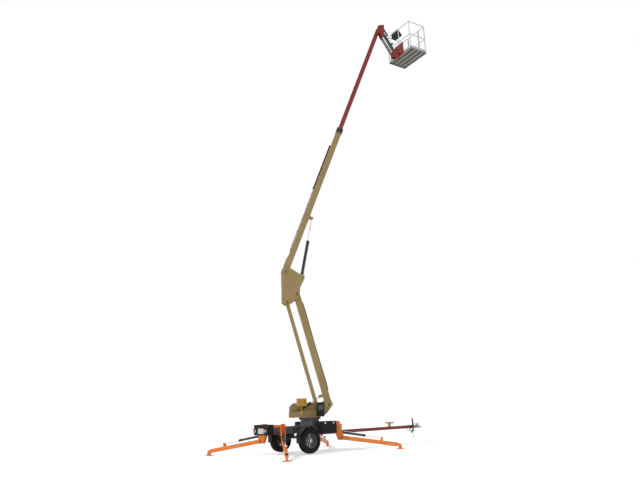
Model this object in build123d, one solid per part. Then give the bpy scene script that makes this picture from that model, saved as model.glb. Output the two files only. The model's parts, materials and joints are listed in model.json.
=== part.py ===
# Towable boom lift: a single-axle trailer chassis on four folding outriggers, with a slewing
# turntable, a parallelogram tower, a telescopic boom, a jib and a work platform.
# Millimetres. +X points along the drawbar, +Y to the trailer's left, +Z up.
# The origin is the centre of the towing ball in the coupler.
from build123d import *
from math import atan2, cos, degrees, hypot, radians, sin
import os

# Trailer: places are from the axle's centre line, heights from the ground
COUPLER_X = 5500
COUPLER_Z = 520
TRACK = 1500
TYRE_DIAMETER = 720
TYRE_WIDTH = 210
RIM_DIAMETER = 381
RIM_WIDTH = 150
WHEEL_LIFT = 25
SPINDLE_RADIUS = 20
HUB_RADIUS = 52
AXLE_TUBE = 76
AXLE_TUBE_AHEAD = 150
AXLE_TUBE_ABOVE = 80
RAIL_SPACING = 660
RAIL_WIDTH = 100
RAIL_HEIGHT = 200
RAIL_WALL = 6
FRAME_BOTTOM = 600
FRAME_REAR = -1000
FRAME_FRONT = 1560
CROSS_WIDTH = 90
REAR_BOX_DEPTH = 200
SLEW_X = 600
PEDESTAL_RADIUS = 290
PEDESTAL_HEIGHT = 180
SLEW_RING_RADIUS = 330
SLEW_RING_BORE = 230
SLEW_RING_HEIGHT = 60
RUNNING_GAP = 5
SEAT_GAP = 0.3
PIN_GAP = 0.05

# Drawbar
TONGUE_WIDTH = 100
TONGUE_HEIGHT = 100
TONGUE_WALL = 6
TONGUE_REAR = 760
TONGUE_NOSE = 150
COUPLER_SLEEVE = 260
BALL_RADIUS = 29.4
SOCKET_CLEARANCE = 0.4
SOCKET_WALL = 9
SOCKET_SKIRT = 22
REST_X = 4000
REST_HEIGHT = 150
JACK_BACK = 470
JACK_SIDE = 105
JACK_TUBE = 57
JACK_LEG = 45

# Outriggers: each pivot and angle is for the left side, and the right side mirrors it
OUTRIGGER_PIVOT_Z = 400
OUTRIGGER_PIVOT_Y = 600
FRONT_PIVOT_X = 1350
FRONT_ANGLE = 41.5
REAR_PIVOT_X = -820
REAR_ANGLE = 122
OUTRIGGER_REACH = 1780
FOOT_PIVOT_Z = 125
OUTRIGGER_FOLD = 96
ARM_WIDTH = 90
ARM_HEIGHT = 120
ARM_WALL = 6
ARM_PIN_RADIUS = 18
PAD_RADIUS = 140
PAD_THICKNESS = 14
MOUNT_PLATE = 12
MOUNT_TOP = 900
LEG_CYLINDER_BASE = (-105, 170)
LEG_LUG_ALONG = 1230
LEG_LUG_OUT = 135
LEG_BARREL_LENGTH = 850
LEG_BARREL_RADIUS = 34
LEG_ROD_RADIUS = 20
LEG_EYE = 32
LEG_PIN_RADIUS = 14
LEG_ROD_INSIDE = 195
LEG_STROKE_RATE = 184
EYE_WIDTH = 44
LUG_PLATE = 12

# Turntable and upper works: places are from the slewing axis, in the plane of the booms
SLEW_REST = -29.6
TURNTABLE_PLATE = 20
CHEEK_SPACING = 250
CHEEK_PLATE = 14
TAIL = -640
HOOD_REAR = -600
HOOD_FRONT = 350
HOOD_TOP = 1480
HOOD_SIDE = 430
MOTOR_COVER_WIDTH = 149
TOWER_FOOT = (605, 1417)
TOWER_LENGTH = 3630
TOWER_REST = 104.5
TOWER_LOW = 180
TOWER_WIDTH = 160
TOWER_HEIGHT = 200
TOWER_WALL = 6
LINK_OFFSET = (-320, -260)
LINK_BAR = 28
LINK_HEIGHT = 96
LINK_SPACING = 138
TOWER_CYLINDER_BASE = (-500, 1135)
TOWER_LUG_ALONG = 300
TOWER_LUG_OUT = 200
TOWER_BARREL_LENGTH = 640
TOWER_BARREL_RADIUS = 42
TOWER_ROD_RADIUS = 24
TOWER_STROKE_RATE = 178
UPRIGHT_RISE = (-341, 733)
UPRIGHT_SPACING = 200
UPRIGHT_PLATE = 14
BOOM_CYLINDER_BASE = (522, -173)
BOOM_LUG_ALONG = 2050
BOOM_LUG_OUT = -190
BOOM_BARREL_LENGTH = 1250
BOOM_BARREL_RADIUS = 48
BOOM_ROD_RADIUS = 26
BOOM_STROKE_RATE = 508
BOOM_REST = 68.2
BOOM_LOW = 0
BOOM_LENGTH = 5500
BOOM_WIDTH = 150
BOOM_HEIGHT = 200
BOOM_WALL = 6
FLY_OUT = 4450
FLY_OVERLAP = 850
FLY_WIDTH = 112
FLY_HEIGHT = 152
FLY_WALL = 6
COLLAR_LENGTH = 150
HAUNCH_LENGTH = 620
HAUNCH_HEIGHT = 262
HAUNCH_PLATE = 8
PIVOT_PIN_RADIUS = 25
EYE_RADIUS = 45

# Cable carrier on the main boom's back
CARRIER_START = 3100
CARRIER_TO_COLLAR = 610
CARRIER_WIDTH = 84
LINK_PITCH = 48
CARRIER_LINKS = int((BOOM_LENGTH - COLLAR_LENGTH - CARRIER_START - CARRIER_TO_COLLAR) / LINK_PITCH)
LINK_DEPTH = 46
LINK_PLATE = 3
TRAY_PLATE = 3
TRAY_EDGE = 20

# Jib and platform
HEAD_SPACING = 150
HEAD_PLATE = 12
JIB_PIVOT = (110, -150)
JIB_LENGTH = 900
JIB_REST = -63
JIB_HIGH = 40
JIB_WIDTH = 76
JIB_HEIGHT = 90
JIB_WALL = 5
JIB_LINK_OFFSET = (-60, -220)
JIB_BAR = 12
JIB_BAR_SPACING = 104
JIB_BAR_HEIGHT = 46
JIB_CYLINDER_BASE = (30, 190)
JIB_LUG_ALONG = 600
JIB_LUG_OUT = 105
JIB_BARREL_LENGTH = 400
JIB_BARREL_RADIUS = 26
JIB_ROD_RADIUS = 15
JIB_STROKE_RATE = 156
JIB_EYE = 26
JIB_PIN_RADIUS = 15
ROTATOR_AHEAD = 130
ROTATOR_RADIUS = 75
ROTATOR_TOP = -120
PLATFORM_WIDTH = 1220
PLATFORM_DEPTH = 760
PLATFORM_AHEAD = 100
PLATFORM_DROP = 100
PLATFORM_REST = 24.4
RAIL_TOP = 1100
RAIL_TUBE = 32
FLOOR_THICKNESS = 40
TOE_HEIGHT = 100
GATE_WIDTH = 560

AXLE_Z = TYRE_DIAMETER / 2 + WHEEL_LIFT
FRAME_TOP = FRAME_BOTTOM + RAIL_HEIGHT
PEDESTAL_TOP = FRAME_TOP + PEDESTAL_HEIGHT
RING_TOP = PEDESTAL_TOP + SLEW_RING_HEIGHT
DECK = RING_TOP + RUNNING_GAP + TURNTABLE_PLATE
TONGUE_TOP = FRAME_BOTTOM
TONGUE_BOTTOM = TONGUE_TOP - TONGUE_HEIGHT

CHASSIS = Location((-COUPLER_X, 0, -COUPLER_Z))
UPPER = CHASSIS * Location((SLEW_X, 0, 0), (0, 0, SLEW_REST))


def along(start, angle, length, side=0):
    """A point in the plane of the booms: so far along a direction, and so far to its left."""
    a = radians(angle)
    return (
        start[0] + length * cos(a) - side * sin(a),
        start[1] + length * sin(a) + side * cos(a),
    )


def block(x0, x1, y0, y1, z0, z1):
    return Location(((x0 + x1) / 2, (y0 + y1) / 2, (z0 + z1) / 2)) * Box(x1 - x0, y1 - y0, z1 - z0)


def plate(points, y0, y1, corner=0):
    """A plate cut to an outline in the XZ plane, from y0 to y1, with its corners rounded."""
    outline = Polygon(*points, align=None)
    if corner:
        outline = fillet(outline.vertices(), corner)
    face = Plane((0, y1, 0), x_dir=(1, 0, 0), z_dir=(0, -1, 0)) * outline
    return extrude(face, y1 - y0, dir=(0, -1, 0))


def pin(x, z, radius, y0, y1):
    """A round bar across the plane, from y0 to y1."""
    return extrude(Plane((x, y0, z), x_dir=(1, 0, 0), z_dir=(0, 1, 0)) * Circle(radius), y1 - y0)


def box_tube(start, end, width, height, wall, corner=12):
    """A rectangular tube between two points of the XZ plane, its width across the plane."""
    run = Vector(end[0] - start[0], 0, end[1] - start[1])
    section = RectangleRounded(width, height, corner)
    if wall:
        section -= RectangleRounded(width - 2 * wall, height - 2 * wall, max(corner - wall, 1))
    return extrude(Plane((start[0], 0, start[1]), x_dir=(0, 1, 0), z_dir=run) * section, run.length)


def rod(start, end, radius, inner=0):
    run = Vector(end[0] - start[0], 0, end[1] - start[1])
    section = Circle(radius) - Circle(inner) if inner else Circle(radius)
    return extrude(Plane((start[0], 0, start[1]), x_dir=(0, 1, 0), z_dir=run) * section, run.length)


def distance(start, end):
    return hypot(end[0] - start[0], end[1] - start[1])


def between(start, end, length):
    share = length / distance(start, end)
    return (start[0] + share * (end[0] - start[0]), start[1] + share * (end[1] - start[1]))


def cylinder_pair(base, end, closed, barrel_length, barrel_radius, rod_radius, eye, pin_radius, inside=0):
    """A hydraulic cylinder from its base pin to its rod's pin: the barrel and the rod.

    inside is the rod's length in the barrel as it stands, or 0 for one that fills a closed barrel.
    """
    total = distance(base, end)
    half = EYE_WIDTH / 2
    neck = eye + 12
    barrel = rod(between(base, end, neck), between(base, end, barrel_length), barrel_radius)
    barrel += rod(base, between(base, end, neck + 2), EYE_WIDTH / 2 - 3) + pin(*base, eye, -half, half)
    barrel += rod(between(base, end, barrel_length - 45), between(base, end, barrel_length), barrel_radius + 5)
    barrel -= rod(
        between(base, end, eye + 30), between(base, end, barrel_length + 1), rod_radius + PIN_GAP
    )
    barrel -= pin(*base, pin_radius + PIN_GAP, -half - 1, half + 1)
    inner = between(base, end, barrel_length - inside if inside else eye + 45 + total - closed)
    ram = rod(inner, between(base, end, total - neck), rod_radius) + pin(*end, eye, -half, half)
    ram += rod(between(base, end, total - neck - 1), end, min(rod_radius, EYE_WIDTH / 2 - 3))
    ram -= pin(*end, pin_radius + PIN_GAP, -half - 1, half + 1)
    return barrel, ram


# Wheels
def tyre():
    outer, half = TYRE_DIAMETER / 2, TYRE_WIDTH / 2
    bead, bead_half = RIM_DIAMETER / 2, RIM_WIDTH / 2
    with BuildPart() as made:
        with BuildSketch(Plane.XY) as section:
            with BuildLine():
                Polyline(
                    (bead, -bead_half + 9), (bead, bead_half - 9), (bead + 22, bead_half + 4),
                )
                ThreePointArc(
                    (bead + 22, bead_half + 4), (bead + 88, half), (outer - 26, half - 16),
                )
                ThreePointArc(
                    (outer - 26, half - 16), (outer - 9, half - 24), (outer - 4, half - 42),
                )
                ThreePointArc((outer - 4, half - 42), (outer, 0), (outer - 4, 42 - half))
                ThreePointArc(
                    (outer - 4, 42 - half), (outer - 9, 24 - half), (outer - 26, 16 - half),
                )
                ThreePointArc(
                    (outer - 26, 16 - half), (bead + 88, -half), (bead + 22, -bead_half - 4),
                )
                Line((bead + 22, -bead_half - 4), (bead, -bead_half + 9))
            make_face()
            with BuildSketch(mode=Mode.SUBTRACT):
                for groove in (-44, -15, 15, 44):
                    with Locations((outer - 3, groove)):
                        Rectangle(16, 8)
        revolve(axis=Axis.Y)
    return made.part


def rim():
    bead, half = RIM_DIAMETER / 2, RIM_WIDTH / 2
    lip = bead + 14
    profile = Polygon(
        (0, 22), (HUB_RADIUS, 22), (HUB_RADIUS + 12, 8), (bead - 62, 20), (bead - 30, -4),
        (bead - 14, -4), (bead - 14, -half + 6), (lip, -half + 2), (lip, -half - 5),
        (bead - 1, -half - 3), (bead - 1, -half + 8.7), (bead - 7, -half + 10),
        (bead - 7, half - 10), (bead - 1, half - 8.7), (bead - 1, half + 3), (lip, half + 5),
        (lip, half - 2), (bead - 8, half - 4), (bead - 14, half - 8), (bead - 14, 4),
        (bead - 28, 4), (bead - 60, 28), (HUB_RADIUS + 8, 18), (HUB_RADIUS, 34), (0, 34),
        align=None,
    )
    disc = revolve(Plane.XY * profile, Axis.Y)
    hub = pin(0, 0, HUB_RADIUS, -58, 22) - pin(0, 0, HUB_RADIUS - 14, -59, -30)
    cap = pin(0, 0, 32, 34, 62)
    wheel = disc + hub + cap
    wheel -= pin(0, 0, SPINDLE_RADIUS + PIN_GAP, -60, 30)
    for spot in PolarLocations(bead - 46, 8):
        wheel -= pin(spot.position.X, spot.position.Y, 15, -40, 60)
    for spot in PolarLocations(HUB_RADIUS + 6, 5):
        wheel += pin(spot.position.X, spot.position.Y, 8, 10, 42)
    return wheel


def bar(start, end, height, y0, y1):
    """A flat bar between two pins, with round ends."""
    solid = pin(*start, height / 2, y0, y1) + pin(*end, height / 2, y0, y1)
    a = atan2(end[1] - start[1], end[0] - start[0])
    across = (-sin(a) * height / 2, cos(a) * height / 2)
    corners = [
        (start[0] + across[0], start[1] + across[1]), (end[0] + across[0], end[1] + across[1]),
        (end[0] - across[0], end[1] - across[1]), (start[0] - across[0], start[1] - across[1]),
    ]
    return solid + plate(corners, y0, y1)


def lug_pair(foot, eye, height, pin_radius):
    """Two ear plates that hold a cylinder's eye between them, each with a cap and no bar across."""
    ears = None
    half = EYE_WIDTH / 2 + 4
    for side in (-1, 1):
        inner, outer = sorted((side * half, side * (half + LUG_PLATE)))
        cap_in, cap_out = sorted((side * (half + LUG_PLATE), side * (half + LUG_PLATE + 3)))
        ear = bar(foot, eye, height, inner, outer) + pin(*eye, pin_radius + 6, cap_in, cap_out)
        ears = ear if ears is None else ears + ear
    return ears


def base_lugs(foot, eye, height, pin_radius):
    """Two ear plates and the pin between them, which carries a barrel's eye."""
    half = EYE_WIDTH / 2 + 4
    return lug_pair(foot, eye, height, pin_radius) + pin(*eye, pin_radius, -half, half)


# Chassis
def chassis_frame():
    frame = None
    middle = (FRAME_REAR + FRAME_FRONT) / 2
    for y in (-RAIL_SPACING / 2, RAIL_SPACING / 2):
        rail = Rectangle(RAIL_WIDTH, RAIL_HEIGHT) - Rectangle(
            RAIL_WIDTH - 2 * RAIL_WALL, RAIL_HEIGHT - 2 * RAIL_WALL
        )
        place = Plane(
            (FRAME_REAR, y, FRAME_BOTTOM + RAIL_HEIGHT / 2), x_dir=(0, 1, 0), z_dir=(1, 0, 0)
        )
        made = extrude(place * rail, FRAME_FRONT - FRAME_REAR)
        frame = made if frame is None else frame + made
    half = (RAIL_SPACING - RAIL_WIDTH) / 2
    for x in (FRAME_REAR + 60, SLEW_X - 260, SLEW_X + 260, FRAME_FRONT - 60):
        for z0, z1 in ((FRAME_BOTTOM, FRAME_BOTTOM + 8), (FRAME_TOP - 8, FRAME_TOP)):
            frame += block(x - CROSS_WIDTH / 2, x + CROSS_WIDTH / 2, -half, half, z0, z1)
        frame += block(x - 5, x + 5, -half, half, FRAME_BOTTOM + 8, FRAME_TOP - 8)
    reach = PEDESTAL_RADIUS + 60
    frame += block(SLEW_X - reach, SLEW_X + reach, -half, half, FRAME_TOP - 12, FRAME_TOP)
    return frame


def drawbar():
    nose = COUPLER_X - TONGUE_NOSE
    tube = Rectangle(TONGUE_WIDTH, TONGUE_HEIGHT) - Rectangle(
        TONGUE_WIDTH - 2 * TONGUE_WALL, TONGUE_HEIGHT - 2 * TONGUE_WALL
    )
    place = Plane(
        (TONGUE_REAR, 0, (TONGUE_TOP + TONGUE_BOTTOM) / 2), x_dir=(0, 1, 0), z_dir=(1, 0, 0)
    )
    bar_made = extrude(place * tube, nose - TONGUE_REAR)
    for side in (-1, 1):
        y0, y1 = sorted((side * TONGUE_WIDTH / 2, side * (TONGUE_WIDTH / 2 + 10)))
        gusset = [
            (FRAME_FRONT - 110, TONGUE_BOTTOM + 10), (FRAME_FRONT + 420, TONGUE_BOTTOM + 10),
            (FRAME_FRONT + 420, TONGUE_TOP - 20), (FRAME_FRONT + 60, TONGUE_TOP),
            (FRAME_FRONT - 110, TONGUE_TOP),
        ]
        bar_made += plate(gusset, y0, y1)
    return bar_made


def boom_rest():
    rest = block(REST_X - 60, REST_X + 60, -50, 50, TONGUE_TOP, TONGUE_TOP + 8)
    rest += block(REST_X - 30, REST_X + 30, -30, 30, TONGUE_TOP + 8, TONGUE_TOP + REST_HEIGHT - 50)
    top = TONGUE_TOP + REST_HEIGHT
    rest += block(REST_X - 90, REST_X + 90, -130, 130, top - 50, top)
    return rest


def coupler():
    """A cast ball coupler: a sleeve over the drawbar's end, and a socket open underneath."""
    nose = COUPLER_X - TONGUE_NOSE
    half = TONGUE_WIDTH / 2 + SEAT_GAP
    body = block(nose - COUPLER_SLEEVE, nose + 12, -half - 8, half + 8, TONGUE_BOTTOM - 8, TONGUE_TOP + 8)
    body -= block(
        nose - COUPLER_SLEEVE - 1, nose + SEAT_GAP, -half, half,
        TONGUE_BOTTOM - SEAT_GAP, TONGUE_TOP + SEAT_GAP,
    )
    outer = BALL_RADIUS + SOCKET_CLEARANCE + SOCKET_WALL
    dome = Location((COUPLER_X, 0, COUPLER_Z)) * Sphere(outer)
    skirt = Location((COUPLER_X, 0, COUPLER_Z - SOCKET_SKIRT / 2)) * Cylinder(outer, SOCKET_SKIRT)
    neck = block(nose + 12, COUPLER_X, -outer + 2, outer - 2, COUPLER_Z - SOCKET_SKIRT, COUPLER_Z + 44)
    body += dome + skirt + neck
    body -= Location((COUPLER_X, 0, COUPLER_Z)) * Sphere(BALL_RADIUS + SOCKET_CLEARANCE)
    body -= Location((COUPLER_X, 0, COUPLER_Z - 50)) * Cylinder(BALL_RADIUS + SOCKET_CLEARANCE, 100)
    body += block(nose - 20, nose + 60, -9, 9, TONGUE_TOP + 8, TONGUE_TOP + 60)
    body += block(nose - 170, nose - 19, -9, 9, TONGUE_TOP + 44, TONGUE_TOP + 60)
    return body


def jack_tube():
    x, y = COUPLER_X - JACK_BACK, -JACK_SIDE
    outer, inner = JACK_TUBE / 2, JACK_LEG / 2 + SEAT_GAP
    tube = Location((x, y, 600)) * (Cylinder(outer, 420) - Cylinder(inner, 421))
    tube += Location((x, y, 816)) * Cylinder(outer + 4, 12)
    tube += Location((x + 60, y, 842)) * Box(150, 16, 10) + Location((x, y, 834)) * Cylinder(10, 26)
    tube += block(x - 45, x + 45, -JACK_SIDE + outer - 4, -TONGUE_WIDTH / 2, TONGUE_BOTTOM, TONGUE_TOP)
    return tube


def jack_leg():
    x, y = COUPLER_X - JACK_BACK, -JACK_SIDE
    foot = 200
    leg = Location((x, y, (foot + 780) / 2)) * Cylinder(JACK_LEG / 2, 780 - foot)
    return leg + Location((x, y, foot - 4)) * Cylinder(75, 8)


def axle():
    x, z = AXLE_TUBE_AHEAD, AXLE_Z + AXLE_TUBE_ABOVE
    half = RAIL_SPACING / 2 + RAIL_WIDTH / 2 + 60
    beam = block(x - AXLE_TUBE / 2, x + AXLE_TUBE / 2, -half, half, z - AXLE_TUBE / 2, z + AXLE_TUBE / 2)
    face = TRACK / 2 - 60
    for side in (-1, 1):
        y0, y1 = sorted((side * (half + 6), side * (half + 34)))
        beam += bar((x, z), (0, AXLE_Z), 86, y0, y1)
        y0, y1 = sorted((side * (half - 2), side * (half + 10)))
        beam += pin(x, z, 34, y0, y1)
        y0, y1 = sorted((side * (half + 30), side * (TRACK / 2 + 18)))
        beam += pin(0, AXLE_Z, SPINDLE_RADIUS, y0, y1)
        y0, y1 = sorted((side * (half + 30), side * (face - 3)))
        beam += pin(0, AXLE_Z, 45, y0, y1)
        rail = side * RAIL_SPACING / 2
        beam += block(x - 60, x + 60, rail - 40, rail + 40, z + AXLE_TUBE / 2, FRAME_BOTTOM)
    return beam


def fender(side):
    """A mudguard over one wheel, carried by a bracket on the frame's rail."""
    inner, thick, width = TYRE_DIAMETER / 2 + 60, 4, TYRE_WIDTH + 40
    centre = side * TRACK / 2
    ring = pin(0, AXLE_Z, inner + thick, centre - width / 2, centre + width / 2)
    ring -= pin(0, AXLE_Z, inner, centre - width / 2 - 1, centre + width / 2 + 1)
    guard = ring & block(-600, 600, centre - width, centre + width, AXLE_Z + 190, AXLE_Z + 600)
    y0, y1 = sorted((side * (RAIL_SPACING + RAIL_WIDTH) / 2, centre - side * (width / 2 - 6)))
    for x in (-150, 150):
        guard += block(x - 20, x + 20, y0, y1, FRAME_TOP - 60, FRAME_TOP - 54)
    wall0, wall1 = sorted((centre - side * (width / 2 - 6), centre - side * width / 2))
    web = [(-330, FRAME_TOP - 80), (-150, FRAME_TOP - 80), (150, FRAME_TOP - 80), (330, FRAME_TOP - 80),
           (200, FRAME_TOP - 40), (-200, FRAME_TOP - 40)]
    return guard + plate(web, wall0, wall1)


def side_cover(side):
    """The closed cover beside the frame, ahead of one wheel, over the batteries."""
    y0, y1 = sorted((side * (RAIL_SPACING + RAIL_WIDTH) / 2, side * 700))
    cover = block(520, 1090, y0, y1, 560, 900)
    return fillet(cover.edges().filter_by(Axis.X), 25)


def rear_box():
    half = (RAIL_SPACING + RAIL_WIDTH) / 2
    box = block(FRAME_REAR - REAR_BOX_DEPTH, FRAME_REAR, -half, half, FRAME_BOTTOM - 10, FRAME_TOP + 80)
    return fillet(box.edges().filter_by(Axis.Y), 15)


def pedestal():
    drum = Circle(PEDESTAL_RADIUS) - Circle(PEDESTAL_RADIUS - 12)
    body = extrude(Plane((SLEW_X, 0, FRAME_TOP)) * drum, PEDESTAL_HEIGHT)
    ring = Circle(SLEW_RING_RADIUS) - Circle(SLEW_RING_BORE)
    body += extrude(Plane((SLEW_X, 0, PEDESTAL_TOP)) * ring, SLEW_RING_HEIGHT)
    flange = Circle(PEDESTAL_RADIUS + 40) - Circle(PEDESTAL_RADIUS - 12)
    body += extrude(Plane((SLEW_X, 0, FRAME_TOP)) * flange, 12)
    return body


# Outriggers, each in its own upright plane: x outward from the pivot, z from the ground
ARM_DROP = degrees(atan2(FOOT_PIVOT_Z - OUTRIGGER_PIVOT_Z, OUTRIGGER_REACH))
ARM_LENGTH = hypot(FOOT_PIVOT_Z - OUTRIGGER_PIVOT_Z, OUTRIGGER_REACH)
LEG_BASE = (LEG_CYLINDER_BASE[0], OUTRIGGER_PIVOT_Z + LEG_CYLINDER_BASE[1])
LEG_EYE_AT = along((0, OUTRIGGER_PIVOT_Z), ARM_DROP, LEG_LUG_ALONG, LEG_LUG_OUT)
LEG_CLOSED = distance(LEG_BASE, LEG_EYE_AT) - LEG_STROKE_RATE * radians(OUTRIGGER_FOLD)
CORNERS = {
    "front_left": (FRONT_PIVOT_X, 1, FRONT_ANGLE),
    "front_right": (FRONT_PIVOT_X, -1, -FRONT_ANGLE),
    "rear_left": (REAR_PIVOT_X, 1, REAR_ANGLE),
    "rear_right": (REAR_PIVOT_X, -1, -REAR_ANGLE),
}


def corner_place(name):
    x, side, angle = CORNERS[name]
    return Location((x, side * OUTRIGGER_PIVOT_Y, 0), (0, 0, angle))


def outrigger_arm():
    start, end = (0, OUTRIGGER_PIVOT_Z), (OUTRIGGER_REACH, FOOT_PIVOT_Z)
    near = along(start, ARM_DROP, 40)
    far = along(start, ARM_DROP, ARM_LENGTH - 70)
    half = ARM_WIDTH / 2
    arm = box_tube(near, far, ARM_WIDTH, ARM_HEIGHT, ARM_WALL)
    arm += pin(*start, ARM_HEIGHT / 2 - 6, -half + 4, half - 4)
    reach = half + 5 + MOUNT_PLATE + 6
    arm += pin(*start, ARM_PIN_RADIUS, -reach, reach)
    for side in (-1, 1):
        y0, y1 = sorted((side * (half - 14), side * (half - 2)))
        arm += bar(along(start, ARM_DROP, ARM_LENGTH - 190), end, 76, y0, y1)
    foot = along(start, ARM_DROP, LEG_LUG_ALONG, 40)
    return arm + lug_pair(foot, LEG_EYE_AT, 70, LEG_PIN_RADIUS)


def foot_pad():
    pad = Location((OUTRIGGER_REACH, 0, PAD_THICKNESS / 2)) * Cylinder(PAD_RADIUS, PAD_THICKNESS)
    pad = fillet(pad.edges().filter_by(GeomType.CIRCLE).sort_by(Axis.Z)[-1], 6)
    inner = ARM_WIDTH / 2 - 14
    x = OUTRIGGER_REACH
    pad += plate(
        [(x - 60, PAD_THICKNESS), (x + 60, PAD_THICKNESS), (x + 30, 150), (x - 30, 150)], -inner, inner, 8
    )
    return pad


def leg_cylinder():
    return cylinder_pair(
        LEG_BASE, LEG_EYE_AT, LEG_CLOSED, LEG_BARREL_LENGTH, LEG_BARREL_RADIUS, LEG_ROD_RADIUS,
        LEG_EYE, LEG_PIN_RADIUS, LEG_ROD_INSIDE,
    )


def outrigger_mount(name):
    """Two plates beside the arm and its cylinder, and the beam that joins them to the frame."""
    inner = ARM_WIDTH / 2 + 5
    z = OUTRIGGER_PIVOT_Z
    outline = [
        (-200, 560), (-110, z - 70), (60, z - 70), (75, z + 40), (20, LEG_BASE[1] + 60),
        (-40, MOUNT_TOP), (-200, MOUNT_TOP),
    ]
    mount = None
    for side in (-1, 1):
        y0, y1 = sorted((side * inner, side * (inner + MOUNT_PLATE)))
        cheek = plate(outline, y0, y1, 12) - pin(0, z, ARM_PIN_RADIUS + PIN_GAP, y0 - 1, y1 + 1)
        mount = cheek if mount is None else mount + cheek
    mount += pin(*LEG_BASE, LEG_PIN_RADIUS, -inner, inner)
    mount += block(-200, -192, -inner, inner, 560, MOUNT_TOP)
    mount = corner_place(name) * mount
    x, side, _ = CORNERS[name]
    rail = side * (RAIL_SPACING / 2 + RAIL_WIDTH / 2)
    ahead = -1 if x > 0 else 1
    spot = corner_place(name) * Location((-150, 0, 0))
    centre = spot.position
    y0, y1 = sorted((rail, centre.Y))
    x0, x1 = sorted((centre.X - 50, centre.X + 50))
    beam = block(x0, x1, y0, y1, FRAME_BOTTOM + 20, FRAME_TOP - 20)
    hollow = corner_place(name) * block(-192, 800, -inner, inner, 0, 2000)
    return mount + (beam - hollow - corner_place(name) * block(-192, 800, -inner - 12, inner + 12, 0, 2000))


# Upper works
TOWER_TOP = along(TOWER_FOOT, TOWER_REST, TOWER_LENGTH)
LINK_FOOT = (TOWER_FOOT[0] + LINK_OFFSET[0], TOWER_FOOT[1] + LINK_OFFSET[1])
LINK_TOP = (TOWER_TOP[0] + LINK_OFFSET[0], TOWER_TOP[1] + LINK_OFFSET[1])
TOWER_EYE_AT = along(TOWER_FOOT, TOWER_REST, TOWER_LUG_ALONG, TOWER_LUG_OUT)
BOOM_PIVOT = (TOWER_TOP[0] + UPRIGHT_RISE[0], TOWER_TOP[1] + UPRIGHT_RISE[1])
BOOM_BASE = (BOOM_PIVOT[0] + BOOM_CYLINDER_BASE[0], BOOM_PIVOT[1] + BOOM_CYLINDER_BASE[1])
BOOM_EYE_AT = along(BOOM_PIVOT, BOOM_REST, BOOM_LUG_ALONG, BOOM_LUG_OUT)
FLY_TIP = along(BOOM_PIVOT, BOOM_REST, BOOM_LENGTH + FLY_OUT)
JIB_ROOT = (FLY_TIP[0] + JIB_PIVOT[0], FLY_TIP[1] + JIB_PIVOT[1])
JIB_LINK_ROOT = (JIB_ROOT[0] + JIB_LINK_OFFSET[0], JIB_ROOT[1] + JIB_LINK_OFFSET[1])
JIB_END = along(JIB_ROOT, JIB_REST, JIB_LENGTH)
JIB_LINK_END = (JIB_END[0] + JIB_LINK_OFFSET[0], JIB_END[1] + JIB_LINK_OFFSET[1])
JIB_BASE = (JIB_ROOT[0] + JIB_CYLINDER_BASE[0], JIB_ROOT[1] + JIB_CYLINDER_BASE[1])
JIB_EYE_AT = along(JIB_ROOT, JIB_REST, JIB_LUG_ALONG, JIB_LUG_OUT)
TOWER_STROKE = TOWER_STROKE_RATE * radians(TOWER_LOW - TOWER_REST)
TOWER_CLOSED = distance(TOWER_CYLINDER_BASE, TOWER_EYE_AT) - TOWER_STROKE
BOOM_CLOSED = distance(BOOM_BASE, BOOM_EYE_AT) - BOOM_STROKE_RATE * radians(BOOM_REST - BOOM_LOW)
JIB_CLOSED = distance(JIB_BASE, JIB_EYE_AT) - JIB_STROKE_RATE * radians(JIB_HIGH - JIB_REST)
ROTATOR_X = JIB_END[0] + ROTATOR_AHEAD
FLOOR_Z = JIB_END[1] - PLATFORM_DROP


def turntable_frame():
    deck = block(TAIL, 430, -200, 200, DECK - TURNTABLE_PLATE, DECK)
    deck += Location((0, 0, DECK - TURNTABLE_PLATE / 2)) * Cylinder(SLEW_RING_RADIUS, TURNTABLE_PLATE)
    spigot = SLEW_RING_BORE - RUNNING_GAP
    deck += Location((0, 0, DECK - TURNTABLE_PLATE - 25)) * Cylinder(spigot, 50)
    outline = [
        (TAIL, DECK - 1), (TAIL, 1190), (-300, 1240), (150, 1240), (480, 1530), (680, 1530),
        (730, 1400), (560, 1180), (430, DECK - 1),
    ]
    inner = CHEEK_SPACING / 2
    for side in (-1, 1):
        y0, y1 = sorted((side * inner, side * (inner + CHEEK_PLATE)))
        cheek = plate(outline, y0, y1)
        for spot in (TOWER_FOOT, LINK_FOOT):
            cheek -= pin(*spot, PIVOT_PIN_RADIUS + PIN_GAP, y0 - 1, y1 + 1)
        deck += cheek
    base = TOWER_CYLINDER_BASE
    deck += base_lugs((base[0], DECK), base, 70, PIVOT_PIN_RADIUS)
    return deck


def tower_arm():
    half = TOWER_WIDTH / 2
    arm = box_tube(TOWER_FOOT, TOWER_TOP, TOWER_WIDTH, TOWER_HEIGHT, TOWER_WALL)
    for spot, reach in (
        (TOWER_FOOT, CHEEK_SPACING / 2 + CHEEK_PLATE + 6),
        (TOWER_TOP, UPRIGHT_SPACING / 2 + UPRIGHT_PLATE + 6),
    ):
        arm += pin(*spot, TOWER_HEIGHT / 2, -half, half)
        arm += pin(*spot, PIVOT_PIN_RADIUS, -reach, reach)
    foot = along(TOWER_FOOT, TOWER_REST, TOWER_LUG_ALONG, TOWER_HEIGHT / 2 - 20)
    return arm + lug_pair(foot, TOWER_EYE_AT, 90, PIVOT_PIN_RADIUS)


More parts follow.
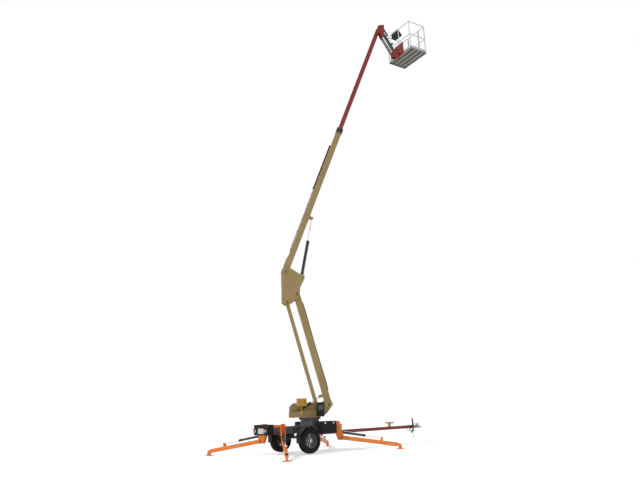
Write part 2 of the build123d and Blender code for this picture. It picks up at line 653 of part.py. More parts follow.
def tower_link():
    link = None
    for side in (-1, 1):
        y0, y1 = sorted((
            side * (LINK_SPACING - LINK_BAR) / 2, side * (LINK_SPACING + LINK_BAR) / 2,
        ))
        made = bar(LINK_FOOT, LINK_TOP, LINK_HEIGHT, y0, y1)
        for spot, reach in (
            (LINK_FOOT, CHEEK_SPACING / 2 + CHEEK_PLATE + 6),
            (LINK_TOP, UPRIGHT_SPACING / 2 + UPRIGHT_PLATE + 6),
        ):
            y0, y1 = sorted((side * LINK_SPACING / 2, side * reach))
            made += pin(*spot, PIVOT_PIN_RADIUS, y0, y1)
        link = made if link is None else link + made
    for share in (0.45, 0.8):
        spot = along(LINK_FOOT, TOWER_REST, TOWER_LENGTH * share)
        link += pin(*spot, 22, -LINK_SPACING / 2, LINK_SPACING / 2)
    return link


def upright():
    x, z = TOWER_TOP
    outline = [
        (-480, -280), (-390, -370), (-270, -360), (90, -120), (120, 200), (270, 480), (270, 600),
        (120, 640), (-200, 850), (-420, 870), (-480, 760),
    ]
    outline = [(x + a, z + b) for a, b in outline]
    inner = UPRIGHT_SPACING / 2
    made = None
    for side in (-1, 1):
        y0, y1 = sorted((side * inner, side * (inner + UPRIGHT_PLATE)))
        cheek = plate(outline, y0, y1, 25)
        for spot in (TOWER_TOP, LINK_TOP, BOOM_PIVOT):
            cheek -= pin(*spot, PIVOT_PIN_RADIUS + PIN_GAP, y0 - 1, y1 + 1)
        made = cheek if made is None else made + cheek
    made += block(x - 478, x - 466, -inner, inner, z - 100, z + 700)
    made += block(x - 470, x + 120, -inner, inner, z + 330, z + 342)
    made += block(x + 150, x + 200, -inner, -EYE_WIDTH / 2 - 4, BOOM_BASE[1] - 40, BOOM_BASE[1] + 30)
    made += block(x + 150, x + 200, EYE_WIDTH / 2 + 4, inner, BOOM_BASE[1] - 40, BOOM_BASE[1] + 30)
    made += pin(*BOOM_BASE, PIVOT_PIN_RADIUS, -inner, inner)
    return made


def tower_cylinder():
    return cylinder_pair(
        TOWER_CYLINDER_BASE, TOWER_EYE_AT, TOWER_CLOSED, TOWER_BARREL_LENGTH, TOWER_BARREL_RADIUS,
        TOWER_ROD_RADIUS, EYE_RADIUS, PIVOT_PIN_RADIUS,
    )


def boom_cylinder():
    return cylinder_pair(
        BOOM_BASE, BOOM_EYE_AT, BOOM_CLOSED, BOOM_BARREL_LENGTH, BOOM_BARREL_RADIUS, BOOM_ROD_RADIUS,
        EYE_RADIUS, PIVOT_PIN_RADIUS,
    )


def jib_cylinder():
    return cylinder_pair(
        JIB_BASE, JIB_EYE_AT, JIB_CLOSED, JIB_BARREL_LENGTH, JIB_BARREL_RADIUS, JIB_ROD_RADIUS,
        JIB_EYE, JIB_PIN_RADIUS,
    )


def main_boom():
    half = BOOM_WIDTH / 2
    tip = along(BOOM_PIVOT, BOOM_REST, BOOM_LENGTH)
    boom = box_tube(BOOM_PIVOT, tip, BOOM_WIDTH, BOOM_HEIGHT, 0)
    boom += pin(*BOOM_PIVOT, BOOM_HEIGHT / 2 - 1, -half + 1, half - 1)
    reach = UPRIGHT_SPACING / 2 + UPRIGHT_PLATE + 6
    boom += pin(*BOOM_PIVOT, PIVOT_PIN_RADIUS, -reach, reach)
    foot = along(BOOM_PIVOT, BOOM_REST, BOOM_LUG_ALONG, -BOOM_HEIGHT / 2)
    doubler = [
        along(BOOM_PIVOT, BOOM_REST, BOOM_LUG_ALONG + length, -BOOM_HEIGHT / 2 - 3) for length in (-130, 130)
    ]
    boom += box_tube(*doubler, BOOM_WIDTH - 30, 12, 0, 2)
    boom += lug_pair(foot, BOOM_EYE_AT, 90, PIVOT_PIN_RADIUS)
    haunch = [
        along(BOOM_PIVOT, BOOM_REST, length, side) for length, side in (
            (60, BOOM_HEIGHT / 2), (200, HAUNCH_HEIGHT / 2), (HAUNCH_LENGTH - 240, HAUNCH_HEIGHT / 2),
            (HAUNCH_LENGTH, BOOM_HEIGHT / 2 - 10), (HAUNCH_LENGTH, 10 - BOOM_HEIGHT / 2),
            (HAUNCH_LENGTH - 240, -BOOM_HEIGHT / 2), (60, -BOOM_HEIGHT / 2),
        )
    ]
    for side in (-1, 1):
        y0, y1 = sorted((side * (half - 1), side * (half + HAUNCH_PLATE)))
        boom += plate(haunch, y0, y1, 8)
    return boom - box_tube(
        along(BOOM_PIVOT, BOOM_REST, BOOM_HEIGHT / 2 + 20), along(tip, BOOM_REST, 1),
        BOOM_WIDTH - 2 * BOOM_WALL, BOOM_HEIGHT - 2 * BOOM_WALL, 0, 6,
    )


def cable_carrier():
    """The chain of links that leads the hoses along the boom's back, straight in its tray."""
    r, z = along(BOOM_PIVOT, BOOM_REST, CARRIER_START, BOOM_HEIGHT / 2)
    length = LINK_PITCH * CARRIER_LINKS
    half = CARRIER_WIDTH / 2
    bracket = 40
    tray = block(-bracket, length + bracket, -half - 6, half + 6, 0, TRAY_PLATE)
    for side in (-1, 1):
        y0, y1 = sorted((side * (half + 3), side * (half + 3 + TRAY_PLATE)))
        tray += block(-bracket, length + bracket, y0, y1, TRAY_PLATE, TRAY_EDGE)
    middle = TRAY_PLATE - 0.5 + LINK_DEPTH / 2
    long, tall = LINK_PITCH * 0.6, LINK_DEPTH / 2
    links = []
    for number in range(CARRIER_LINKS):
        x = LINK_PITCH * (number + 0.5)
        inset = LINK_PLATE if number % 2 else 0
        outline = [
            (x - long, middle - tall / 2), (x - long / 2, middle - tall), (x + long / 2, middle - tall),
            (x + long, middle - tall / 2), (x + long, middle + tall / 2), (x + long / 2, middle + tall),
            (x - long / 2, middle + tall), (x - long, middle + tall / 2),
        ]
        for side in (-1, 1):
            y0, y1 = sorted((side * (half - LINK_PLATE - inset), side * (half - inset)))
            links.append(plate(outline, y0, y1))
        for low in (middle - tall, middle + tall - 4):
            reach = half - inset - 1
            links.append(block(x - 9, x + 9, -reach, reach, low, low + 4))
    for x in (-bracket, length + 6):
        links.append(block(x, x + bracket - 6, -half, half, TRAY_PLATE - 0.5, LINK_DEPTH + 8))
    return Location((r, 0, z), (0, -BOOM_REST, 0)) * (tray + links)


def boom_collar():
    start = along(BOOM_PIVOT, BOOM_REST, BOOM_LENGTH - COLLAR_LENGTH)
    tip = along(BOOM_PIVOT, BOOM_REST, BOOM_LENGTH)
    lip = along(BOOM_PIVOT, BOOM_REST, BOOM_LENGTH + 14)
    collar = box_tube(start, tip, BOOM_WIDTH + 24, BOOM_HEIGHT + 24, 12, 16)
    front = box_tube(tip, lip, BOOM_WIDTH + 24, BOOM_HEIGHT + 24, 0, 16)
    front -= box_tube(
        along(tip, BOOM_REST, -1), along(lip, BOOM_REST, 1),
        FLY_WIDTH + 2 * SEAT_GAP, FLY_HEIGHT + 2 * SEAT_GAP, 0, 12,
    )
    return collar + front


def fly_boom():
    """The inner boom with its head: two plates that hold the levelling bracket's pin."""
    start = along(BOOM_PIVOT, BOOM_REST, BOOM_LENGTH - FLY_OVERLAP)
    tip = along(BOOM_PIVOT, BOOM_REST, BOOM_LENGTH + FLY_OUT - 120)
    fly = box_tube(start, tip, FLY_WIDTH, FLY_HEIGHT, 0)
    gap = 2 * BOOM_WALL + 2 * SEAT_GAP
    fly += box_tube(start, along(start, BOOM_REST, 120), BOOM_WIDTH - gap, BOOM_HEIGHT - gap, 0, 6)
    inner = HEAD_SPACING / 2 + HEAD_PLATE + 2
    stub = along(FLY_TIP, BOOM_REST, -290)
    for side in (-1, 1):
        y0, y1 = sorted((side * inner, side * (inner + HEAD_PLATE)))
        cheek = bar(stub, FLY_TIP, 110, y0, y1)
        cheek -= pin(*FLY_TIP, PIVOT_PIN_RADIUS + PIN_GAP, y0 - 1, y1 + 1)
        y0, y1 = sorted((side * (FLY_WIDTH / 2 - 2), side * (inner + 1)))
        fly += cheek + bar(along(stub, BOOM_REST, 5), along(stub, BOOM_REST, 60), 90, y0, y1)
    return fly - box_tube(
        along(start, BOOM_REST, -1), along(tip, BOOM_REST, 1),
        FLY_WIDTH - 2 * FLY_WALL, FLY_HEIGHT - 2 * FLY_WALL, 0, 6,
    )


def tip_bracket():
    """The levelled bracket at the fly's end, which carries the jib, its link and its cylinder."""
    x, z = FLY_TIP
    inner = HEAD_SPACING / 2
    outline = [
        (-60, -60), (40, -420), (130, -420), (175, -180), (190, 60), (165, 90), (110, 85), (-30, 60),
    ]
    outline = [(x + a, z + b) for a, b in outline]
    made = None
    for side in (-1, 1):
        y0, y1 = sorted((side * inner, side * (inner + HEAD_PLATE)))
        cheek = plate(outline, y0, y1, 15)
        for spot, radius in ((JIB_ROOT, PIVOT_PIN_RADIUS), (JIB_LINK_ROOT, JIB_PIN_RADIUS)):
            cheek -= pin(*spot, radius + PIN_GAP, y0 - 1, y1 + 1)
        made = cheek if made is None else made + cheek
    reach = inner + 2 * HEAD_PLATE + 8
    made += pin(*FLY_TIP, PIVOT_PIN_RADIUS, -reach, reach)
    made += pin(*JIB_BASE, JIB_PIN_RADIUS, -inner, inner)
    made += block(x - 20, x + 60, -inner, inner, z - 105, z - 95)
    return made


def jib_upper():
    half = JIB_WIDTH / 2
    arm = box_tube(JIB_ROOT, JIB_END, JIB_WIDTH, JIB_HEIGHT, JIB_WALL, 10)
    reach = HEAD_SPACING / 2 + HEAD_PLATE + 5
    for spot in (JIB_ROOT, JIB_END):
        arm += pin(*spot, JIB_HEIGHT / 2, -half, half)
        arm += pin(*spot, PIVOT_PIN_RADIUS, -reach, reach)
    foot = along(JIB_ROOT, JIB_REST, JIB_LUG_ALONG, JIB_HEIGHT / 2 - 14)
    return arm + lug_pair(foot, JIB_EYE_AT, 56, JIB_PIN_RADIUS)


def jib_lower():
    link = None
    reach = HEAD_SPACING / 2 + HEAD_PLATE + 5
    for side in (-1, 1):
        y0, y1 = sorted((side * (JIB_BAR_SPACING - JIB_BAR) / 2, side * (JIB_BAR_SPACING + JIB_BAR) / 2))
        made = bar(JIB_LINK_ROOT, JIB_LINK_END, JIB_BAR_HEIGHT, y0, y1)
        y0, y1 = sorted((side * JIB_BAR_SPACING / 2, side * reach))
        for spot in (JIB_LINK_ROOT, JIB_LINK_END):
            made += pin(*spot, JIB_PIN_RADIUS, y0, y1)
        link = made if link is None else link + made
    middle = along(JIB_LINK_ROOT, JIB_REST, JIB_LENGTH / 2)
    return link + pin(*middle, 12, -JIB_BAR_SPACING / 2, JIB_BAR_SPACING / 2)


def platform_support():
    x, z = JIB_END
    inner = HEAD_SPACING / 2
    outline = [
        (-70, 30), (-115, -220), (-90, -262), (-20, -262), (70, -250), (90, -240), (90, ROTATOR_TOP - 10),
        (50, 0), (20, 55), (-40, 60),
    ]
    outline = [(x + a, z + b) for a, b in outline]
    made = None
    for side in (-1, 1):
        y0, y1 = sorted((side * inner, side * (inner + HEAD_PLATE)))
        cheek = plate(outline, y0, y1, 8)
        for spot, radius in ((JIB_END, PIVOT_PIN_RADIUS), (JIB_LINK_END, JIB_PIN_RADIUS)):
            cheek -= pin(*spot, radius + PIN_GAP, y0 - 1, y1 + 1)
        made = cheek if made is None else made + cheek
    drum = Location((x + ROTATOR_AHEAD, 0, z + (ROTATOR_TOP - 250) / 2))
    made += block(x + 66, x + ROTATOR_AHEAD, -inner - 6, inner + 6, z - 245, z + ROTATOR_TOP - 12)
    made += drum * Cylinder(ROTATOR_RADIUS, -ROTATOR_TOP + 10)
    return made


def platform_place():
    return Location((ROTATOR_X, 0, FLOOR_Z), (0, 0, PLATFORM_REST))


BACK = PLATFORM_AHEAD
FRONT = PLATFORM_AHEAD + PLATFORM_DEPTH
HALF = PLATFORM_WIDTH / 2


def platform_carrier():
    low = JIB_END[1] + ROTATOR_TOP + RUNNING_GAP - FLOOR_Z
    hub = Location((0, 0, low + 30)) * Cylinder(ROTATOR_RADIUS, 60)
    hub += block(0, BACK, -60, 60, low, low + 60)
    wall = block(BACK - 12, BACK, -230, 230, -FLOOR_THICKNESS, 420)
    return hub + wall


def platform_floor():
    floor = block(BACK, FRONT, -HALF, HALF, -FLOOR_THICKNESS, 0)
    inner = block(BACK + 6, FRONT - 6, -HALF + 6, HALF - 6, -FLOOR_THICKNESS - 1, -4)
    floor -= inner
    for x in (BACK + 190, BACK + 380, BACK + 570):
        floor += block(x - 15, x + 15, -HALF + 6, HALF - 6, -FLOOR_THICKNESS + 4, -4)
    return floor


def platform_rails():
    r = RAIL_TUBE / 2
    x0, x1, y0, y1 = BACK + r, FRONT - r, -HALF + r, HALF - r
    gate = GATE_WIDTH / 2 + r
    posts = [(x0, y0), (x0, y1), (x1, y0), (x1, y1), (x1, -gate), (x1, gate), (x0, 0)]
    made = None
    for x, y in posts:
        post = Location((x, y, (RAIL_TOP - r) / 2)) * Cylinder(r, RAIL_TOP - r)
        made = post if made is None else made + post
    for z in (RAIL_TOP - 2 * r, RAIL_TOP / 2):
        for a, b in (((x0, y0), (x0, y1)), ((x0, y0), (x1, y0)), ((x0, y1), (x1, y1)),
                     ((x1, y0), (x1, -gate)), ((x1, y1), (x1, gate))):
            run = Vector(b[0] - a[0], b[1] - a[1], 0)
            made += extrude(Plane((a[0], a[1], z), z_dir=run) * Circle(r - 1.5), run.length)
    toe = [
        (x0 - 2, x0 + 2, y0, y1), (x0, x1, y0 - 2, y0 + 2), (x0, x1, y1 - 2, y1 + 2),
        (x1 - 2, x1 + 2, y0, -gate), (x1 - 2, x1 + 2, gate, y1),
    ]
    for a, b, c, d in toe:
        made += block(a, b, c, d, 0, TOE_HEIGHT)
    return made


def platform_gate():
    r = RAIL_TUBE / 2
    x = FRONT - r
    y0, y1 = -GATE_WIDTH / 2 + 6, GATE_WIDTH / 2 - 6
    made = block(x - 2, x + 2, y0 + 10, y1 - 10, 12, TOE_HEIGHT)
    for y in (y0 + 14, y1 - 14):
        made += Location((x, y, (RAIL_TOP - 14 + 12) / 2)) * Cylinder(14, RAIL_TOP - 14 - 12)
    for z in (RAIL_TOP - 28, RAIL_TOP / 2):
        made += extrude(Plane((x, y0 + 14, z), z_dir=(0, 1, 0)) * Circle(12), y1 - y0 - 28)
    return made


def console():
    x = BACK + RAIL_TUBE
    box = plate([(x, 900), (x + 190, 900), (x + 190, 960), (x + 60, 1130), (x, 1130)], 60, 420)
    return box


def control_box():
    box = block(-420, -120, -330, -CHEEK_SPACING / 2 - CHEEK_PLATE, 1380, 1600)
    return box + block(-300, -240, -170, -CHEEK_SPACING / 2 - CHEEK_PLATE, 1100, 1380)


def power_cover():
    """The hood beside the tower's foot: a moulding with a sloped nose and rounded edges."""
    y = CHEEK_SPACING / 2 + CHEEK_PLATE + 12
    outline = [
        (HOOD_REAR, DECK), (HOOD_FRONT, DECK), (HOOD_FRONT, HOOD_TOP - 190),
        (HOOD_FRONT - 130, HOOD_TOP - 20), (HOOD_FRONT - 240, HOOD_TOP), (HOOD_REAR + 120, HOOD_TOP), (HOOD_REAR, HOOD_TOP - 110),
    ]
    cover = plate(outline, y, HOOD_SIDE)
    outer = cover.edges().filter_by(Plane.XZ).sort_by(Axis.Y)[-len(outline):]
    return fillet(outer, 28)


def motor_cover():
    y = CHEEK_SPACING / 2 + CHEEK_PLATE + 12
    cover = block(200, 425, -y - MOTOR_COVER_WIDTH, -y, DECK, HOOD_TOP)
    return fillet(cover.edges().filter_by(Axis.Y), 25)


def write(shape, name, place):
    shape = place * shape
    shape.label = name
    export_step(shape, f"parts/{name}.step")


os.makedirs("parts", exist_ok=True)

chassis_nodes = {
    "chassis_frame": chassis_frame(),
    "drawbar": drawbar(),
    "boom_rest": boom_rest(),
    "coupler": coupler(),
    "jack_tube": jack_tube(),
    "jack_leg": jack_leg(),
    "axle": axle(),
    "fender_left": fender(1),
    "fender_right": fender(-1),
    "side_cover_left": side_cover(1),
    "side_cover_right": side_cover(-1),
    "rear_box": rear_box(),
    "slew_pedestal": pedestal(),
}
for name, shape in chassis_nodes.items():
    write(shape, name, CHASSIS)

tyre_shape = tyre()
rim_shape = rim()
for name, side in (("left", 1), ("right", -1)):
    place = CHASSIS * Location((0, side * TRACK / 2, AXLE_Z), (0, 0, 0 if side > 0 else 180))
    write(tyre_shape, f"tyre_{name}", place)
    write(rim_shape, f"rim_{name}", place)

arm_shape = outrigger_arm() + foot_pad()
barrel_shape, rod_shape = leg_cylinder()
for name in CORNERS:
    place = CHASSIS * corner_place(name)
    write(arm_shape, f"outrigger_{name}", place)
    write(barrel_shape, f"leg_barrel_{name}", place)
    write(rod_shape, f"leg_rod_{name}", place)
for end in ("front", "rear"):
    pair = outrigger_mount(f"{end}_left") + outrigger_mount(f"{end}_right")
    x = (FRONT_PIVOT_X if end == "front" else REAR_PIVOT_X)
    inward = -1 if end == "front" else 1
    half = RAIL_SPACING / 2 + RAIL_WIDTH / 2 + 90
    x0, x1 = sorted((x + inward * 90, x + inward * 180))
    beam = block(x0, x1, -half, half, FRAME_TOP, FRAME_TOP + 70)
    for side in ("left", "right"):
        inner = ARM_WIDTH / 2 + 5
        beam -= corner_place(f"{end}_{side}") * block(-192, 800, -inner, inner, 0, 2000)
    pair += beam
    write(pair, f"mounts_{end}", CHASSIS)

tower_barrel, tower_rod = tower_cylinder()
lift_barrel, lift_rod = boom_cylinder()
jib_barrel, jib_rod = jib_cylinder()
upper_nodes = {
    "turntable_frame": turntable_frame(),
    "power_cover": power_cover(),
    "motor_cover": motor_cover(),
    "control_box": control_box(),
    "tower_arm": tower_arm(),
    "tower_link": tower_link(),
    "upright": upright(),
    "tower_barrel": tower_barrel,
    "tower_rod": tower_rod,
    "main_boom": main_boom(),
    "boom_collar": boom_collar(),
    "cable_carrier": cable_carrier(),
    "lift_barrel": lift_barrel,
    "lift_rod": lift_rod,
    "fly_boom": fly_boom(),
    "tip_bracket": tip_bracket(),
    "jib_arm": jib_upper(),
    "jib_link": jib_lower(),
    "jib_barrel": jib_barrel,
    "jib_rod": jib_rod,
    "platform_support": platform_support(),
}
for name, shape in upper_nodes.items():
    write(shape, name, UPPER)

platform_nodes = {
    "platform_carrier": platform_carrier(),
    "platform_floor": platform_floor(),
    "platform_rails": platform_rails(),
    "platform_gate": platform_gate(),
    "console": console(),
}
for name, shape in platform_nodes.items():
    write(shape, name, UPPER * platform_place())
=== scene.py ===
import bpy
import json
import math
from mathutils import Matrix, Vector


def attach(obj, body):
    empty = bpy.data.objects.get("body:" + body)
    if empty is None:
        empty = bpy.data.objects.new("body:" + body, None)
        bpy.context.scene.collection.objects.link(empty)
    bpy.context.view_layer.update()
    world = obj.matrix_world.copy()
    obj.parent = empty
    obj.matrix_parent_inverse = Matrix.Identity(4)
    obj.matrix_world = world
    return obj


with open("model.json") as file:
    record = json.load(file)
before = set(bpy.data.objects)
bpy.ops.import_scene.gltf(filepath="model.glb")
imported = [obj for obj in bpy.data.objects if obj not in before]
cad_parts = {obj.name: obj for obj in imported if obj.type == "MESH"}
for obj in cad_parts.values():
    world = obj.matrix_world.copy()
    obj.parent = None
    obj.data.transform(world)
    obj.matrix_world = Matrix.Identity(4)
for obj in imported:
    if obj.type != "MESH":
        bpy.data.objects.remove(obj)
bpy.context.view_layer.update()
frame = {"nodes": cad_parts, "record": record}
nodes = frame["nodes"]
print("frame loaded:", len(nodes), "nodes")

# The trailer's frame starts at the towing ball: the ground, the axle and the slewing centre in metres
groundZ = -0.52
axleX = -5.5
slewX = axleX + 0.6
slewAngle = -29.6
dustHeight = {"paint": 1.1, "moulded": 0.9}
smoothAngle = math.radians(35)
pinRadius = 0.025
sideNames = {1: "left", -1: "right"}


# Shader maths: one socket and the operators used on it
class Wire:
    def __init__(self, tree, socket):
        self.tree = tree
        self.socket = socket

    def math(self, operation, other, flip=False):
        first, second = (other, self) if flip else (self, other)
        return node(self.tree, "ShaderNodeMath", {"operation": operation}, {0: first, 1: second})

    def __add__(self, other): return self.math("ADD", other)
    def __rsub__(self, other): return self.math("SUBTRACT", other, True)
    def __mul__(self, other): return self.math("MULTIPLY", other)
    def __gt__(self, other): return self.math("GREATER_THAN", other)


def node(tree, kind, settings, values, output=0):
    made = tree.nodes.new(kind)
    for name, value in settings.items():
        setattr(made, name, value)
    for name, value in values.items():
        if isinstance(value, Wire):
            tree.links.new(value.socket, made.inputs[name])
        else:
            made.inputs[name].default_value = value
    return Wire(tree, made.outputs[output])


def shade(color):
    return (color[0], color[1], color[2], 1.0)


def startMaterial(name):
    material = bpy.data.materials.new(name)
    material.use_nodes = True
    tree = material.node_tree
    surface = tree.nodes["Principled BSDF"]
    place = node(tree, "ShaderNodeTexCoord", {}, {}, "Object")
    return material, tree, surface, place


def noise(tree, place, scale, detail=3.0, rough=0.55):
    values = {"Vector": place, "Scale": scale, "Detail": detail, "Roughness": rough}
    return node(tree, "ShaderNodeTexNoise", {}, values)


def ramp(tree, value, low, high):
    return node(tree, "ShaderNodeMapRange", {"clamp": True}, {"Value": value, "From Min": low, "From Max": high})


def mixColor(tree, factor, first, second):
    mixed = tree.nodes.new("ShaderNodeMix")
    mixed.data_type = "RGBA"
    for socket, value in zip([mixed.inputs[0], mixed.inputs[6], mixed.inputs[7]], [factor, first, second]):
        if isinstance(value, Wire):
            tree.links.new(value.socket, socket)
        elif socket is mixed.inputs[0]:
            socket.default_value = value
        else:
            socket.default_value = shade(value)
    return Wire(tree, mixed.outputs[2])


def bump(tree, height, strength, distance):
    return node(tree, "ShaderNodeBump", {}, {"Height": height, "Strength": strength, "Distance": distance})


def join(tree, surface, name, value):
    tree.links.new(value.socket, surface.inputs[name])


# Paint: a gloss coat with orange peel, dust low down, rain streaks and worn spots
def paint(name, look):
    material, tree, surface, place = startMaterial(name)
    apart = node(tree, "ShaderNodeSeparateXYZ", {}, {"Vector": place}, "Z")
    stretched = node(tree, "ShaderNodeMapping", {}, {"Vector": place, "Scale": (7.0, 7.0, 0.9)})
    patch = noise(tree, place, look["patch"], 4.0)
    streak = noise(tree, stretched, 6.0, 3.0, 0.6)
    speck = noise(tree, place, 55.0, 2.0)
    peel = noise(tree, place, 320.0, 1.0)
    faded = mixColor(tree, ramp(tree, patch, 0.35, 0.7), look["color"], look["faded"])
    low = ramp(tree, apart, groundZ + dustHeight["paint"], groundZ)
    dirt = ramp(tree, streak, 0.48, 0.72) * look["streaks"] + low * ramp(tree, patch, 0.3, 0.6) * look["dust"]
    soiled = mixColor(tree, dirt, faded, look["dirt"])
    chips = (speck > look["chipFrom"]) * ramp(tree, patch, 0.48, 0.52)
    join(tree, surface, "Base Color", mixColor(tree, chips, soiled, look["under"]))
    join(tree, surface, "Roughness", ramp(tree, patch, 0.2, 0.8) * 0.16 + dirt * 0.3 + look["rough"])
    join(tree, surface, "Normal", bump(tree, peel, 0.12, 0.0006))
    surface.inputs["Coat Weight"].default_value = look["coat"]
    surface.inputs["Coat Roughness"].default_value = 0.12
    surface.inputs["Specular IOR Level"].default_value = 0.3
    return material


# Moulded plastic and rubber: fine grain, greyed by sun and dust
def moulded(name, look):
    material, tree, surface, place = startMaterial(name)
    apart = node(tree, "ShaderNodeSeparateXYZ", {}, {"Vector": place}, "Z")
    cloud = noise(tree, place, look["patch"], 4.0)
    grain = noise(tree, place, look["grain"], 2.0)
    pits = node(tree, "ShaderNodeTexVoronoi", {}, {"Vector": place, "Scale": look["grain"] * 1.4})
    low = ramp(tree, apart, groundZ + dustHeight["moulded"], groundZ)
    dust = ramp(tree, cloud, 0.35, 0.75) * look["dust"] + low * look["dust"]
    join(tree, surface, "Base Color", mixColor(tree, dust, look["color"], look["dirt"]))
    join(tree, surface, "Roughness", grain * 0.18 + look["rough"])
    join(tree, surface, "Normal", bump(tree, pits + grain, look["bump"], 0.0008))
    surface.inputs["Specular IOR Level"].default_value = 0.15
    return material


# Bare and plated metal: brushed or cast, with stains
def metal(name, look):
    material, tree, surface, place = startMaterial(name)
    drawn = node(tree, "ShaderNodeMapping", {}, {"Vector": place, "Scale": look["brush"]})
    cloud = noise(tree, place, look["patch"], 4.0)
    lines = noise(tree, drawn, 90.0, 2.0)
    stain = ramp(tree, cloud, 0.5, 0.75) * look["stains"]
    join(tree, surface, "Base Color", mixColor(tree, stain, look["color"], look["dirt"]))
    join(tree, surface, "Roughness", lines * look["lines"] + stain * 0.4 + look["rough"])
    join(tree, surface, "Metallic", 1.0 - stain * 0.7)
    join(tree, surface, "Normal", bump(tree, lines, look["bump"], 0.0005))
    return material


dustColor = (0.36, 0.31, 0.24)
primer = (0.30, 0.28, 0.26)
paints = {
    "creamPaint": {"color": (0.30, 0.205, 0.070), "faded": (0.36, 0.255, 0.098), "patch": 1.7, "streaks": 0.14},
    "orangePaint": {"color": (0.84, 0.19, 0.010), "faded": (0.86, 0.24, 0.020), "patch": 2.4, "streaks": 0.07},
    "redPaint": {"color": (0.20, 0.010, 0.004), "faded": (0.25, 0.018, 0.007), "patch": 2.2, "streaks": 0.05},
    "blackPaint": {"color": (0.006, 0.006, 0.008), "faded": (0.012, 0.013, 0.016), "patch": 3.0, "streaks": 0.05},
    "slatePaint": {"color": (0.022, 0.030, 0.040), "faded": (0.035, 0.046, 0.058), "patch": 2.5, "streaks": 0.06},
    "olivePaint": {"color": (0.095, 0.095, 0.075), "faded": (0.13, 0.13, 0.10), "patch": 2.5, "streaks": 0.08},
    "greySteel": {"color": (0.055, 0.056, 0.057), "faded": (0.085, 0.086, 0.086), "patch": 3.0, "streaks": 0.12},
    "railPaint": {"color": (0.55, 0.57, 0.57), "faded": (0.66, 0.68, 0.68), "patch": 4.0, "streaks": 0.06},
    "yellowPaint": {"color": (0.50, 0.26, 0.018), "faded": (0.54, 0.31, 0.04), "patch": 3.0, "streaks": 0.08},
}
paintRest = {
    "dirt": dustColor, "under": primer, "dust": 0.16, "chipFrom": 0.72, "rough": 0.36, "coat": 0.10,
}
finishes = {name: paint(name, {**paintRest, **look}) for name, look in paints.items()}
finishes["blackPlastic"] = moulded("blackPlastic", {
    "color": (0.008, 0.008, 0.009), "dirt": (0.10, 0.09, 0.075), "patch": 2.5, "grain": 180.0, "dust": 0.10,
    "rough": 0.42, "bump": 0.16,
})
finishes["creamPlastic"] = moulded("creamPlastic", {
    "color": (0.35, 0.245, 0.09), "dirt": (0.24, 0.18, 0.10), "patch": 2.0, "grain": 240.0, "dust": 0.22,
    "rough": 0.34, "bump": 0.10,
})
finishes["tyreRubber"] = moulded("tyreRubber", {
    "color": (0.006, 0.006, 0.006), "dirt": (0.060, 0.053, 0.043), "patch": 9.0, "grain": 130.0, "dust": 0.14,
    "rough": 0.66, "bump": 0.30,
})
finishes["chromeRod"] = metal("chromeRod", {
    "color": (0.72, 0.73, 0.75), "dirt": (0.16, 0.13, 0.10), "patch": 6.0, "brush": (1.0, 1.0, 1.0),
    "lines": 0.10, "rough": 0.10, "stains": 0.35, "bump": 0.03,
})
finishes["castGrey"] = metal("castGrey", {
    "color": (0.30, 0.30, 0.30), "dirt": (0.12, 0.08, 0.05), "patch": 14.0, "brush": (1.0, 1.0, 1.0),
    "lines": 0.30, "rough": 0.42, "stains": 0.8, "bump": 0.35,
})
finishes["treadAlloy"] = metal("treadAlloy", {
    "color": (0.24, 0.24, 0.22), "dirt": (0.11, 0.11, 0.09), "patch": 5.0, "brush": (1.0, 8.0, 1.0),
    "lines": 0.25, "rough": 0.34, "stains": 0.6, "bump": 0.10,
})

finishOfSlot = {
    "cream_paint": "creamPaint", "orange_paint": "orangePaint", "red_paint": "redPaint",
    "black_paint": "blackPaint", "grey_steel": "greySteel", "rail_paint": "railPaint",
    "yellow_paint": "yellowPaint", "black_plastic": "blackPlastic", "cream_plastic": "creamPlastic",
    "tyre": "tyreRubber", "chrome_rod": "chromeRod", "cast_grey": "castGrey", "tread_alloy": "treadAlloy",
}
finishOfNode = {"jib_arm": "slatePaint", "jib_link": "olivePaint", "axle": "blackPaint"}
for part in frame["record"]["subparts"]:
    mesh = nodes[part["node"]].data
    mesh.materials.clear()
    mesh.materials.append(finishes[finishOfNode.get(part["node"], finishOfSlot[part["material_slot"]])])
print("materials done:", len(finishes))


# Places: the trailer's own frame, the plane of the slewed booms, and frames along the arms
def tilted(base, r, z, angle):
    return base @ Matrix.Translation((r, 0, z)) @ Matrix.Rotation(-math.radians(angle), 4, "Y")


trailer = Matrix.Translation((axleX, 0, groundZ))
slewCentre = Matrix.Translation((slewX, 0, groundZ))
upperTurn = slewCentre @ Matrix.Rotation(math.radians(slewAngle), 4, "Z")
arms = {
    "tower": {"r": 0.605, "z": 1.417, "angle": 104.5, "length": 3.63},
    "link": {"r": 0.285, "z": 1.157, "angle": 104.5, "length": 3.63},
    "boom": {"angle": 68.2, "length": 5.5},
    "jib": {"angle": -63.0, "length": 0.9},
}
flyReach = 9.95


def reach(arm, rise=(0, 0)):
    angle = math.radians(arm["angle"])
    return {
        "r": arm["r"] + arm["length"] * math.cos(angle) + rise[0],
        "z": arm["z"] + arm["length"] * math.sin(angle) + rise[1],
    }


towerTop = reach(arms["tower"])
linkTop = reach(arms["link"])
arms["boom"].update(reach(arms["tower"], (-0.341, 0.733)))
flyTip = reach({**arms["boom"], "length": flyReach})
arms["jib"].update({"r": flyTip["r"] + 0.11, "z": flyTip["z"] - 0.15})
jibEnd = reach(arms["jib"])
turns = {name: tilted(upperTurn, arm["r"], arm["z"], arm["angle"]) for name, arm in arms.items()}
platformTurn = upperTurn @ Matrix.Translation((jibEnd["r"] + 0.13, 0, jibEnd["z"] - 0.1)) @ (
    Matrix.Rotation(math.radians(24.4), 4, "Z")
)


# Modelling steps
def clear():
    bpy.ops.object.select_all(action="DESELECT")


